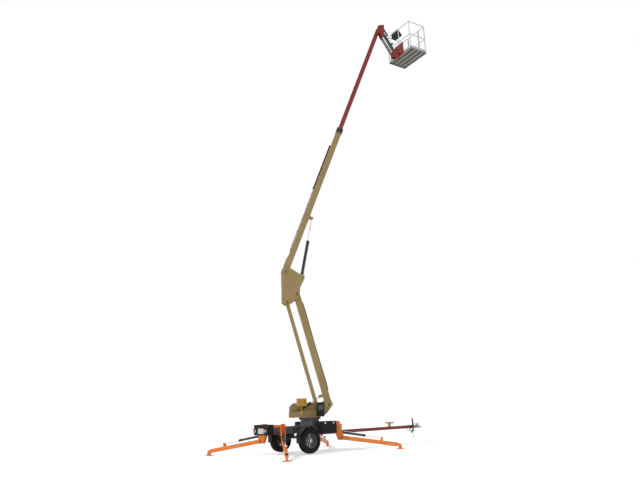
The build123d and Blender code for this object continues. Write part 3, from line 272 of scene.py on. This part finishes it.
def soften(bevel, segments):
    bpy.ops.object.mode_set(mode="EDIT")
    bpy.ops.mesh.select_all(action="SELECT")
    bpy.ops.mesh.bevel(offset=bevel, segments=segments, affect="EDGES")
    bpy.ops.object.mode_set(mode="OBJECT")


def cube(place, size, bevel=0.004, segments=2):
    clear()
    bpy.ops.mesh.primitive_cube_add(size=1, location=place)
    piece = bpy.context.object
    piece.scale = size
    bpy.ops.object.transform_apply(location=True, rotation=True, scale=True)
    soften(bevel, segments)
    return piece


def drum(place, radius, depth, axis="Z", sides=24, bevel=0.002, top=None):
    clear()
    rotation = {"X": (0, math.pi / 2, 0), "Y": (math.pi / 2, 0, 0), "Z": (0, 0, 0)}[axis]
    bpy.ops.mesh.primitive_cone_add(
        vertices=sides, radius1=radius, radius2=radius if top is None else top, depth=depth,
        location=place, rotation=rotation,
    )
    piece = bpy.context.object
    bpy.ops.object.transform_apply(location=True, rotation=True, scale=True)
    soften(bevel, 2)
    return piece


def tube(points, radius, sides=4):
    clear()
    bpy.ops.curve.primitive_bezier_curve_add()
    piece = bpy.context.object
    spline = piece.data.splines[0]
    spline.bezier_points.add(len(points) - 2)
    for point, place in zip(spline.bezier_points, points):
        point.co = place
        point.handle_left_type = point.handle_right_type = "AUTO"
    piece.data.bevel_depth = radius
    piece.data.bevel_resolution = sides
    piece.data.use_fill_caps = True
    piece.data.resolution_u = 8
    bpy.ops.object.convert(target="MESH")
    return bpy.context.object


def gather(pieces):
    clear()
    for piece in pieces:
        piece.select_set(True)
    bpy.context.view_layer.objects.active = pieces[0]
    if len(pieces) > 1:
        bpy.ops.object.join()
    return bpy.context.object


def settle(pieces, name, finish, body, turn=None):
    piece = gather(pieces if isinstance(pieces, list) else [pieces])
    piece.name = name
    if turn is not None:
        piece.matrix_world = turn @ piece.matrix_world
    bpy.ops.object.transform_apply(location=True, rotation=True, scale=True)
    bpy.ops.object.shade_smooth_by_angle(angle=smoothAngle)
    piece.data.materials.clear()
    piece.data.materials.append(finishes[finish])
    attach(piece, body)
    return piece


def copies(piece, places):
    made = []
    for place in places:
        twin = piece.copy()
        twin.data = piece.data.copy()
        bpy.context.scene.collection.objects.link(twin)
        twin.matrix_world = place
        made.append(twin)
    bpy.data.objects.remove(piece)
    return made


# Bolts and pin ends
bolts = {"head": 0.012, "depth": 0.010, "washer": 0.017}


def boltHead(place, axis, size=1.0):
    head = drum(place, bolts["head"] * size, bolts["depth"] * size, axis, 6, 0.0012 * size)
    base = drum(place, bolts["washer"] * size, 0.003, axis, 20, 0.0006)
    return [head, base]


def pinEnds(name, body, turn, place, radius, face):
    pieces = []
    for side in (-1, 1):
        x, z = place
        pieces.append(drum((x, side * face, z), radius * 1.25, 0.010, "Y", 32, 0.002))
        pieces.append(cube((x, side * (face + 0.001), z - radius * 1.9), (radius * 0.9, 0.008, radius * 2.4), 0.002))
        pieces += boltHead((x, side * (face + 0.008), z - radius * 2.6), "Y", 0.8)
        pieces.append(drum((x, side * (face + 0.007), z), 0.006, 0.012, "Y", 10, 0.001))
    settle(pieces, name, "greySteel", body, turn)


pins = {
    "towerFoot": {"body": "tower", "at": (arms["tower"]["r"], arms["tower"]["z"]), "face": 0.145},
    "linkFoot": {"body": "tower_link", "at": (arms["link"]["r"], arms["link"]["z"]), "face": 0.145},
    "towerTop": {"body": "tower", "at": (towerTop["r"], towerTop["z"]), "face": 0.120},
    "linkTop": {"body": "tower_link", "at": (linkTop["r"], linkTop["z"]), "face": 0.120},
    "boomFoot": {"body": "boom", "at": (arms["boom"]["r"], arms["boom"]["z"]), "face": 0.120},
    "flyHead": {"body": "tip_bracket", "at": (flyTip["r"], flyTip["z"]), "face": 0.107},
}
for name, hole in pins.items():
    pinEnds(name + "PinEnds", hole["body"], upperTurn, hole["at"], pinRadius, hole["face"])
print("pins done")

# Wheels: tread blocks, nuts, a hub cap and a valve
wheel = {"radius": 0.36, "centre": 0.385, "track": 1.5, "nuts": 5, "nutCircle": 0.058, "valveCircle": 0.142}
treadRows = (-0.064, -0.0295, 0.0, 0.0295, 0.064)
treadSteps = 48


def wheelPlace(side):
    return Matrix.Translation((axleX, side * wheel["track"] / 2, groundZ + wheel["centre"]))


def tread(side):
    blocks = []
    for number, row in enumerate(treadRows):
        drop = 0.004 if abs(row) > 0.05 else 0.0
        wide = 0.022 if number % 2 == 0 else 0.018
        blocks.append(cube((0, row, wheel["radius"] - 0.003 - drop), (0.032, wide, 0.011), 0.0018, 1))
    group = gather(blocks)
    step = 2 * math.pi / treadSteps
    ring = copies(group, [Matrix.Rotation(number * step, 4, "Y") for number in range(treadSteps)])
    name = sideNames[side]
    settle(ring, "tread_" + name, "tyreRubber", "wheel_" + name, wheelPlace(side))


def wheelTrim(side):
    name = sideNames[side]
    pieces = []
    for number in range(wheel["nuts"]):
        angle = number * 2 * math.pi / wheel["nuts"]
        place = (wheel["nutCircle"] * math.cos(angle), 0.040, wheel["nutCircle"] * math.sin(angle))
        pieces.append(drum(place, 0.0125, 0.016, "Y", 6, 0.002))
        pieces.append(drum((place[0], 0.031, place[2]), 0.015, 0.004, "Y", 20, 0.001))
    pieces.append(drum((0, 0.060, 0), 0.028, 0.012, "Y", 32, 0.004))
    pieces.append(drum((wheel["valveCircle"], 0.028, 0.0), 0.0045, 0.030, "Y", 12, 0.001))
    turn = wheelPlace(side)
    if side < 0:
        turn = turn @ Matrix.Rotation(math.pi, 4, "Z")
    settle(pieces, "wheelNuts_" + name, "chromeRod", "wheel_" + name, turn)


for side in (1, -1):
    tread(side)
    wheelTrim(side)
print("wheels done")

# Covers on the chassis: lids, lips, ribs and latches
sideCover = {"from": 0.52, "to": 1.09, "outer": 0.70, "inner": 0.40, "top": 0.90, "mid": 0.715}


def coverTrim(side):
    name = sideNames[side]
    middle = (sideCover["from"] + sideCover["to"]) / 2
    long = sideCover["to"] - sideCover["from"]
    deep = (sideCover["inner"] + sideCover["outer"]) / 2
    face = side * sideCover["outer"]
    lid = cube((middle, side * deep, sideCover["top"] + 0.004), (long - 0.03, 0.27, 0.018), 0.008, 3)
    lip = cube((middle, face + side * 0.002, sideCover["top"] - 0.03), (long - 0.05, 0.012, 0.024), 0.004)
    ribs = [
        cube((sideCover["from"] + long * share, face + side * 0.001, sideCover["mid"]), (0.016, 0.010, 0.22), 0.004)
        for share in (0.12, 0.31, 0.5, 0.69, 0.88)
    ]
    settle([lid, lip] + ribs, "coverLid_" + name, "blackPlastic", "chassis", trailer)
    latches = []
    for share in (0.22, 0.78):
        x = sideCover["from"] + long * share
        latches.append(cube((x, face + side * 0.009, sideCover["top"] - 0.035), (0.045, 0.012, 0.05), 0.003))
        latches.append(cube((x, face + side * 0.017, sideCover["top"] - 0.052), (0.030, 0.006, 0.034), 0.002))
        latches += boltHead((x - 0.013, face + side * 0.017, sideCover["top"] - 0.018), "Y", 0.35)
    settle(latches, "coverLatches_" + name, "chromeRod", "chassis", trailer)


for side in (1, -1):
    coverTrim(side)

# Rear box: lamps, a blank plate and its lid
rearLamps = {"x": -1.2, "y": 0.29, "z": 0.72}


def glow(name, color):
    material, tree, surface, place = startMaterial(name)
    cells = node(tree, "ShaderNodeTexVoronoi", {}, {"Vector": place, "Scale": 260.0})
    join(tree, surface, "Base Color", mixColor(tree, cells, color, [value * 0.6 for value in color]))
    join(tree, surface, "Roughness", cells * 0.2 + 0.08)
    join(tree, surface, "Normal", bump(tree, cells, 0.3, 0.0006))
    surface.inputs["Coat Weight"].default_value = 1.0
    return material


finishes["redLens"] = glow("redLens", (0.42, 0.012, 0.010))
finishes["amberLens"] = glow("amberLens", (0.70, 0.22, 0.01))
finishes["clearLens"] = glow("clearLens", (0.72, 0.74, 0.74))
lampParts = {
    "lampBody_": {"finish": "blackPlastic", "at": (-0.012, 0.0, 0.0), "size": (0.034, 0.165, 0.105), "bevel": 0.008},
    "lampRed_": {"finish": "redLens", "at": (-0.032, 0.028, 0.0), "size": (0.016, 0.092, 0.082), "bevel": 0.006},
    "lampAmber_": {
        "finish": "amberLens", "at": (-0.032, -0.048, 0.02), "size": (0.016, 0.048, 0.042), "bevel": 0.005,
    },
    "lampClear_": {
        "finish": "clearLens", "at": (-0.032, -0.048, -0.022), "size": (0.016, 0.048, 0.034), "bevel": 0.005,
    },
}
for side in (1, -1):
    for prefix, part in lampParts.items():
        x, y, z = part["at"]
        place = (rearLamps["x"] + x, side * (rearLamps["y"] + y), rearLamps["z"] + z)
        lens = cube(place, part["size"], part["bevel"], 3)
        settle(lens, prefix + sideNames[side], part["finish"], "chassis", trailer)
plate = cube((rearLamps["x"] - 0.004, 0, rearLamps["z"] - 0.01), (0.008, 0.30, 0.15), 0.003)
settle(plate, "blankPlate", "railPaint", "chassis", trailer)
rearLid = [cube((-1.10, 0, 0.883), (0.19, 0.74, 0.014), 0.006, 3)]
rearLid += [cube((-1.203, y, 0.80), (0.010, 0.012, 0.13), 0.003) for y in (-0.16, -0.08, 0.0, 0.08, 0.16)]
settle(rearLid, "rearLid", "blackPlastic", "chassis", trailer)
print("chassis trim done")

# Turntable: louvres and latches on the hood, the ground controls and the hydraulic unit
hood = {"from": -0.60, "to": 0.35, "outer": 0.43, "seam": 1.268, "mid": 1.165}
louvres = []
for number in range(11):
    x = hood["from"] + 0.10 + number * 0.035
    louvres.append(cube((x, hood["outer"] + 0.001, hood["mid"]), (0.016, 0.012, 0.13), 0.004))
settle(louvres, "hoodLouvres", "blackPlastic", "turntable", upperTurn)
hoodLong = hood["to"] - hood["from"]
seam = [
    cube((hood["from"] + hoodLong / 2, hood["outer"] - 0.006, hood["seam"]), (hoodLong - 0.06, 0.018, 0.012), 0.004),
    cube((hood["to"] - 0.002, 0.30, hood["seam"]), (0.010, 0.20, 0.012), 0.003),
    cube((hood["from"] + 0.002, 0.30, hood["seam"]), (0.010, 0.20, 0.012), 0.003),
]
for x in (hood["from"] + 0.22, hood["to"] - 0.22):
    seam.append(cube((x, hood["outer"] + 0.008, hood["seam"] - 0.012), (0.036, 0.016, 0.06), 0.004))
    seam.append(cube((x, hood["outer"] + 0.017, hood["seam"] - 0.026), (0.024, 0.006, 0.026), 0.002))
for y in (0.24, 0.30, 0.36):
    seam.append(cube((hood["from"] - 0.001, y, hood["mid"]), (0.010, 0.020, 0.11), 0.003))
settle(seam, "hoodSeams", "blackPlastic", "turntable", upperTurn)

box = {"x": -0.27, "y": -0.33, "z": 1.49, "columns": 4, "rows": 2, "columnStep": 0.055, "rowStep": 0.06}
door = [cube((box["x"], box["y"] - 0.004, box["z"]), (0.28, 0.014, 0.20), 0.006, 3)]
door.append(cube((box["x"], box["y"] + 0.09, box["z"] + 0.115), (0.32, 0.20, 0.012), 0.005))
settle(door, "controlDoor", "yellowPaint", "turntable", upperTurn)
knobs = []
for column in range(box["columns"]):
    for row in range(box["rows"]):
        x = box["x"] - 0.09 + column * box["columnStep"]
        z = box["z"] + 0.045 - row * box["rowStep"]
        knobs.append(drum((x, box["y"] - 0.017, z), 0.010, 0.012, "Y", 20, 0.0015))
        knobs.append(drum((x, box["y"] - 0.032, z), 0.0035, 0.026, "Y", 12, 0.001))
settle(knobs, "controlToggles", "blackPlastic", "turntable", upperTurn)
stop = [drum((box["x"] + 0.105, box["y"] - 0.020, box["z"] + 0.03), 0.020, 0.022, "Y", 28, 0.005)]
settle(stop, "controlStop", "redPaint", "turntable", upperTurn)

# Hydraulic unit in front of its cover: valve block, coils and unions
unit = {"x": 0.31, "y": -0.315, "z": 1.30, "coils": 4, "step": 0.04}
valves = [cube((unit["x"], unit["y"], unit["z"]), (0.17, 0.035, 0.11), 0.004)]
for column in range(unit["coils"]):
    x = unit["x"] - 0.06 + column * unit["step"]
    valves.append(drum((x, unit["y"], unit["z"] + 0.085), 0.014, 0.06, "Z", 20, 0.002))
    valves += boltHead((x, unit["y"] - 0.02, unit["z"] - 0.03), "Y", 0.6)
    valves.append(drum((x, unit["y"], unit["z"] - 0.068), 0.009, 0.028, "Z", 6, 0.001))
settle(valves, "valveBlock", "greySteel", "turntable", upperTurn)

# Teeth of the slewing ring, and the pedestal's bolts
slewRing = {"teeth": 72, "toothCircle": 0.333, "toothZ": 1.005, "bolts": 16, "boltCircle": 0.312, "boltZ": 0.817}
tooth = cube((slewRing["toothCircle"], 0, slewRing["toothZ"]), (0.014, 0.013, 0.044), 0.002, 1)
step = 2 * math.pi / slewRing["teeth"]
teeth = copies(tooth, [Matrix.Rotation(number * step, 4, "Z") for number in range(slewRing["teeth"])])
settle(teeth, "slewTeeth", "greySteel", "chassis", slewCentre)
pedestalBolts = []
for number in range(slewRing["bolts"]):
    angle = number * 2 * math.pi / slewRing["bolts"]
    x, y = slewRing["boltCircle"] * math.cos(angle), slewRing["boltCircle"] * math.sin(angle)
    pedestalBolts += boltHead((x, y, slewRing["boltZ"]), "Z", 1.0)
settle(pedestalBolts, "pedestalBolts", "greySteel", "chassis", slewCentre)
print("turntable done")

# Booms: the tower's hoses with their clamps, and the collar's screws
towerLong = arms["tower"]["length"]
hoseRadius = 0.009
hoseDrop = -0.112
hoseInside = hoseDrop * 0.8
towerHoses = []
for side in (-0.036, -0.012, 0.012, 0.036):
    towerHoses.append(tube([
        (0.36, side, hoseInside), (0.44, side, hoseDrop), (towerLong * 0.5, side, hoseDrop),
        (towerLong - 0.34, side, hoseDrop), (towerLong - 0.26, side, hoseInside),
    ], hoseRadius))
settle(towerHoses, "towerHoses", "blackPlastic", "tower", turns["tower"])
towerClamps = []
for share in (0.14, 0.32, 0.5, 0.68, 0.86):
    x = towerLong * share
    towerClamps.append(cube((x, 0, hoseDrop + 0.006), (0.026, 0.112, 0.010), 0.002))
    towerClamps.append(cube((x, 0, hoseDrop - 0.008), (0.020, 0.104, 0.014), 0.002))
    towerClamps += boltHead((x, 0, hoseDrop + 0.014), "Z", 0.45)
settle(towerClamps, "towerHosesClamps", "greySteel", "tower", turns["tower"])
collar = []
for x in (arms["boom"]["length"] - 0.12, arms["boom"]["length"] - 0.04):
    for side in (-1, 1):
        for z in (-0.07, 0.0, 0.07):
            collar += boltHead((x, side * 0.089, z), "Y", 0.8)
        for y in (-0.045, 0.045):
            collar += boltHead((x, y, side * 0.114), "Z", 0.8)
settle(collar, "collarScrews", "greySteel", "boom", turns["boom"])

# Doubler plates on the upright's cheeks, round its three pins and the lift cylinder's
doublers = []
doubler = {"radii": {"towerTop": 0.085, "linkTop": 0.075, "boomFoot": 0.095}, "face": 0.1155, "thick": 0.0034}
liftFoot = {"r": arms["boom"]["r"] + 0.522, "z": arms["boom"]["z"] - 0.173, "radius": 0.065, "boltCircle": 0.050}
for side in (-1, 1):
    for name, radius in doubler["radii"].items():
        x, z = pins[name]["at"]
        doublers.append(drum((x, side * doubler["face"], z), radius, doubler["thick"], "Y", 40, 0.001))
    foot = (liftFoot["r"], side * doubler["face"], liftFoot["z"])
    doublers.append(drum(foot, liftFoot["radius"], doubler["thick"], "Y", 40, 0.001))
    for number in range(6):
        angle = number * math.pi / 3
        x = liftFoot["r"] + liftFoot["boltCircle"] * math.cos(angle)
        z = liftFoot["z"] + liftFoot["boltCircle"] * math.sin(angle)
        doublers += boltHead((x, side * 0.121, z), "Y", 0.6)
settle(doublers, "uprightDoublers", "creamPaint", "upright", upperTurn)

# Hoses that come along the boom's back to the cable carrier
backHoses = []
for side in (-0.028, -0.009, 0.010, 0.029):
    run = [(0.70, side, 0.094), (0.80, side, 0.113), (1.90, side, 0.113), (3.07, side, 0.115)]
    backHoses.append(tube(run, hoseRadius))
settle(backHoses, "boomHoses", "blackPlastic", "boom", turns["boom"])
backClamps = []
for x in (0.95, 1.45, 1.95, 2.45, 2.90):
    backClamps.append(cube((x, 0, 0.124), (0.028, 0.094, 0.006), 0.002))
    for side in (-1, 1):
        backClamps.append(cube((x, side * 0.044, 0.112), (0.028, 0.006, 0.026), 0.002))
        backClamps += boltHead((x, side * 0.054, 0.102), "Z", 0.45)
settle(backClamps, "boomHoseClamps", "greySteel", "boom", turns["boom"])

# Hydraulic cylinders: end nuts, wipers, ports and the pipe that joins them
joints = {joint["name"]: joint for joint in frame["record"]["behaviour"]["joints"]}
cylinders = {
    "tower": {
        "swing": "tower_barrel_swing", "stroke": "tower_rod_stroke", "free": -1, "long": 0.64, "radius": 0.042,
        "rod": 0.024,
    },
    "lift": {
        "swing": "lift_barrel_swing", "stroke": "lift_rod_stroke", "free": -1, "long": 1.25, "radius": 0.048,
        "rod": 0.026,
    },
    "jib": {
        "swing": "jib_barrel_swing", "stroke": "jib_rod_stroke", "free": 1, "long": 0.40, "radius": 0.026,
        "rod": 0.015,
    },
}
corners = ("front_left", "front_right", "rear_left", "rear_right")
for corner in corners:
    cylinders["leg_" + corner] = {
        "swing": "leg_" + corner + "_swing", "stroke": "leg_" + corner + "_stroke", "free": 1, "long": 0.85,
        "radius": 0.034, "rod": 0.020,
    }


def standing(place, ahead):
    across = Vector((0, 0, 1)).cross(ahead).normalized()
    columns = Matrix((ahead, across, ahead.cross(across))).transposed()
    return Matrix.Translation(place) @ columns.to_4x4()


for name, cylinder in cylinders.items():
    swing = joints[cylinder["swing"]]
    turn = standing(swing["pos_m"], Vector(joints[cylinder["stroke"]]["axis"]).normalized())
    long, radius, free = cylinder["long"], cylinder["radius"], cylinder["free"]
    fittings = [drum((long - 0.023, 0, 0), radius + 0.007, 0.030, "X", 40, 0.003)]
    fittings.append(drum((0.075, 0, 0), radius + 0.003, 0.012, "X", 40, 0.004))
    portAt = (0.125, long - 0.085)
    for x in portAt:
        fittings.append(drum((x, 0, free * (radius + 0.003)), 0.013, 0.018, "Z", 20, 0.002))
        fittings.append(drum((x, 0, free * (radius + 0.016)), 0.010, 0.012, "Z", 6, 0.001))
    settle(fittings, name + "CylinderPorts", "blackPaint", swing["child"], turn)
    high = free * (radius + 0.011)
    run = [
        (portAt[1], 0, high), (portAt[1] - 0.04, 0.004, high), (portAt[0] + 0.09, 0.006, high),
        (portAt[0] + 0.02, 0.014, high),
    ]
    settle([tube(run, 0.005)], name + "CylinderPipe", "chromeRod", swing["child"], turn)
    wiper = drum((long + 0.003, 0, 0), cylinder["rod"] + 0.008, 0.010, "X", 36, 0.002, cylinder["rod"] + 0.004)
    settle(wiper, name + "CylinderWiper", "blackPlastic", swing["child"], turn)

# Outriggers: pin ends, reflectors and weld beads near both ends of each arm
armSlope = math.atan2(0.275, 1.78)
legPin = {"radius": 0.018, "face": 0.063}
for corner in corners:
    fold = joints["outrigger_" + corner + "_fold"]
    ahead = Vector(joints["leg_" + corner + "_stroke"]["axis"])
    level = standing(fold["pos_m"], Vector((ahead.x, ahead.y, 0)).normalized())
    pinEnds(corner + "PivotPinEnds", fold["child"], level, (0, 0), legPin["radius"], legPin["face"])
    sloped = level @ Matrix.Rotation(armSlope, 4, "Y")
    markers = [cube((0.62, side * 0.0465, 0.0), (0.095, 0.005, 0.036), 0.002) for side in (-1, 1)]
    settle(markers, corner + "Reflectors", "amberLens", fold["child"], sloped)
    beads = []
    for x in (0.05, 1.725):
        for z in (-0.058, 0.058):
            beads.append(tube([(x, -0.040, z), (x, 0.0, z * 1.03), (x, 0.040, z)], 0.0035, 2))
    settle(beads, corner + "WeldBeads", "orangePaint", fold["child"], sloped)
print("booms done")

# Towing gear: the plug's cable with its clips, two safety chains, and the flaps behind the wheels
cable = [tube([
    (1.60, 0.050, 0.575), (2.4, 0.058, 0.555), (3.6, 0.058, 0.560), (4.8, 0.058, 0.556), (5.05, 0.075, 0.60),
    (5.10, 0.090, 0.50), (5.16, 0.095, 0.40),
], 0.0065)]
cable.append(drum((5.165, 0.0955, 0.375), 0.022, 0.055, "Z", 28, 0.004))
cable.append(drum((5.165, 0.0955, 0.338), 0.018, 0.026, "Z", 28, 0.003))
settle(cable, "trailerCable", "blackPlastic", "chassis", trailer)
clips = [cube((x, 0.053, 0.558), (0.018, 0.020, 0.024), 0.003) for x in (1.9, 2.6, 3.3, 4.0, 4.6)]
settle(clips, "cableClips", "greySteel", "chassis", trailer)
chain = {"from": 4.86, "long": 0.25, "sag": 0.12, "pitch": 0.031}
links = []
for side in (-1, 1):
    share, number = 0.0, 0
    while share <= 1.0:
        slope = -4 * chain["sag"] * (1 - 2 * share) / chain["long"]
        clear()
        bpy.ops.mesh.primitive_torus_add(
            major_radius=0.013, minor_radius=0.0035, major_segments=16, minor_segments=8,
            rotation=(math.pi / 2 if number % 2 else 0, 0, 0),
        )
        link = bpy.context.object
        bpy.ops.object.transform_apply(location=True, rotation=True, scale=True)
        link.scale = (1.5, 1.0, 1.0)
        link.rotation_euler = (0, -math.atan(slope), 0)
        drop = 4 * chain["sag"] * share * (1 - share)
        link.location = (chain["from"] + chain["long"] * share, side * (0.060 + 0.012 * share), 0.53 - drop)
        bpy.ops.object.transform_apply(location=True, rotation=True, scale=True)
        links.append(link)
        share += chain["pitch"] / (chain["long"] * math.hypot(1, slope))
        number += 1
settle(links, "safetyChains", "castGrey", "chassis", trailer)
for side in (-1, 1):
    flap = [cube((-0.392, side * wheel["track"] / 2, 0.455), (0.007, 0.225, 0.25), 0.002)]
    flap += boltHead((-0.397, side * 0.68, 0.56), "X", 0.6) + boltHead((-0.397, side * 0.82, 0.56), "X", 0.6)
    settle(flap, "mudFlap_" + sideNames[side], "blackPlastic", "chassis", trailer)
print("towing gear done")

# Platform: console controls, floor studs, and the gate's hinges and latch
sticks = []
consoleTurn = platformTurn @ Matrix.Translation((0.235, 0.24, 1.045)) @ Matrix.Rotation(math.radians(36), 4, "Y")
panel = cube((0, 0, 0.004), (0.19, 0.33, 0.010), 0.004)
settle(panel, "consolePanel", "greySteel", "platform", consoleTurn)
for y in (-0.09, 0.0, 0.09):
    sticks.append(drum((0.01, y, 0.018), 0.022, 0.024, "Z", 24, 0.004, 0.012))
    sticks.append(drum((0.01, y, 0.05), 0.005, 0.06, "Z", 12, 0.001))
    sticks.append(drum((0.01, y, 0.085), 0.014, 0.028, "Z", 20, 0.008))
for y in (-0.13, -0.045, 0.045, 0.13):
    sticks.append(drum((-0.06, y, 0.014), 0.008, 0.012, "Z", 16, 0.001))
    sticks.append(drum((-0.06, y, 0.026), 0.003, 0.020, "Z", 10, 0.001))
settle(sticks, "consoleSticks", "blackPlastic", "platform", consoleTurn)
settle(drum((0.06, 0.11, 0.02), 0.020, 0.024, "Z", 28, 0.006), "consoleStop", "redPaint", "platform", consoleTurn)

basket = {"back": 0.10, "front": 0.86, "gate": 0.28}
studs = {"rows": 12, "columns": 19, "step": 0.062, "firstX": 0.14, "firstY": -0.56}
stud = cube((0, 0, 0.0015), (0.030, 0.010, 0.005), 0.002, 1)
places = []
for row in range(studs["rows"]):
    for column in range(studs["columns"]):
        angle = 45 if (row + column) % 2 else -45
        spot = Matrix.Translation((
            studs["firstX"] + row * studs["step"], studs["firstY"] + column * studs["step"], 0,
        ))
        places.append(spot @ Matrix.Rotation(math.radians(angle), 4, "Z"))
settle(copies(stud, places), "floorStuds", "treadAlloy", "platform", platformTurn)
fittings = []
for z in (0.32, 0.82):
    fittings.append(drum((basket["front"] - 0.016, -basket["gate"] - 0.006, z), 0.013, 0.07, "Z", 20, 0.002))
    fittings.append(cube((basket["front"] - 0.016, -basket["gate"] + 0.004, z), (0.008, 0.04, 0.05), 0.002))
fittings.append(cube((basket["front"] - 0.016, basket["gate"] + 0.004, 0.86), (0.030, 0.05, 0.07), 0.004))
fittings.append(drum((basket["front"] - 0.040, basket["gate"] + 0.004, 0.87), 0.008, 0.05, "X", 16, 0.002))
for y in (-0.45, 0.45):
    fittings.append(cube((basket["back"] + 0.03, y, 0.07), (0.012, 0.06, 0.05), 0.003))
settle(fittings, "platformFittings", "greySteel", "platform", platformTurn)
print("platform done")


# Camera, lights and floor
camera = {
    "place": (-16.85, -15.90, 0.793), "heading": 38.4, "pitch": 13.63, "roll": -2.21, "lens": 34.86,
    "sensor": 36.0, "shift": 0.0279, "farClip": 600.0,
}
heading, pitch, roll = (math.radians(camera[key]) for key in ("heading", "pitch", "roll"))
ahead = Vector((
    math.sin(heading) * math.cos(pitch), math.cos(heading) * math.cos(pitch), math.sin(pitch),
))
right = ahead.cross(Vector((0, 0, 1))).normalized()
above = right.cross(ahead)
turnedRight = right * math.cos(roll) + above * math.sin(roll)
turnedAbove = above * math.cos(roll) - right * math.sin(roll)
bpy.ops.object.camera_add()
lensView = bpy.context.object
lensView.name = "photoCamera"
turn = Matrix((turnedRight, turnedAbove, -ahead)).transposed().to_4x4()
lensView.matrix_world = Matrix.Translation(camera["place"]) @ turn
lensView.data.lens = camera["lens"]
lensView.data.sensor_width = camera["sensor"]
lensView.data.shift_y = camera["shift"]
lensView.data.clip_end = camera["farClip"]
bpy.context.scene.camera = lensView
bpy.context.scene.view_settings.view_transform = "Standard"

bpy.ops.mesh.primitive_plane_add(size=400.0, location=(axleX, 0, groundZ))
floor = bpy.context.object
floor.name = "floor"
floorMaterial, tree, surface, place = startMaterial("floorPale")
surface.inputs["Base Color"].default_value = (0.86, 0.86, 0.86, 1)
surface.inputs["Roughness"].default_value = 0.9
floor.data.materials.append(floorMaterial)


# Rays that look at the background: from the camera, or by way of metal or glass
def lookingRay(tree):
    seen = node(tree, "ShaderNodeLightPath", {}, {}, "Is Camera Ray")
    for kind in ("Is Glossy Ray", "Is Transmission Ray"):
        seen = seen.math("MAXIMUM", node(tree, "ShaderNodeLightPath", {}, {}, kind))
    return seen


# The floor looks paler than it is lit, so that it meets the backdrop and keeps the shadow
surface.inputs["Emission Color"].default_value = (1, 1, 1, 1)
join(tree, surface, "Emission Strength", lookingRay(tree) * 0.42)

# The backdrop looks white, and the sky that lights the machine is dimmer
world = bpy.data.worlds.new("studio")
bpy.context.scene.world = world
world.use_nodes = True
sky = world.node_tree
sky.nodes["Background"].inputs["Color"].default_value = (0.90, 0.94, 1.0, 1)
sky.nodes["Background"].inputs["Strength"].default_value = 0.45
backdrop = node(sky, "ShaderNodeBackground", {}, {"Color": (1.0, 1.0, 1.0, 1), "Strength": 1.0})
chosen = sky.nodes.new("ShaderNodeMixShader")
sky.links.new(lookingRay(sky).socket, chosen.inputs[0])
sky.links.new(sky.nodes["Background"].outputs[0], chosen.inputs[1])
sky.links.new(backdrop.socket, chosen.inputs[2])
sky.links.new(chosen.outputs[0], sky.nodes["World Output"].inputs["Surface"])

suns = {
    "key": {"aim": (0.86, -0.10, -0.78), "power": 1.5, "spread": 6.0},
    "fill": {"aim": (0.45, 0.80, -0.30), "power": 0.45, "spread": 50.0},
}
for name, lamp in suns.items():
    bpy.ops.object.light_add(type="SUN")
    made = bpy.context.object
    made.name = name
    made.rotation_euler = Vector(lamp["aim"]).to_track_quat("-Z", "Y").to_euler()
    made.data.energy = lamp["power"]
    made.data.angle = math.radians(lamp["spread"])
print("camera and lights done")

bpy.context.view_layer.update()
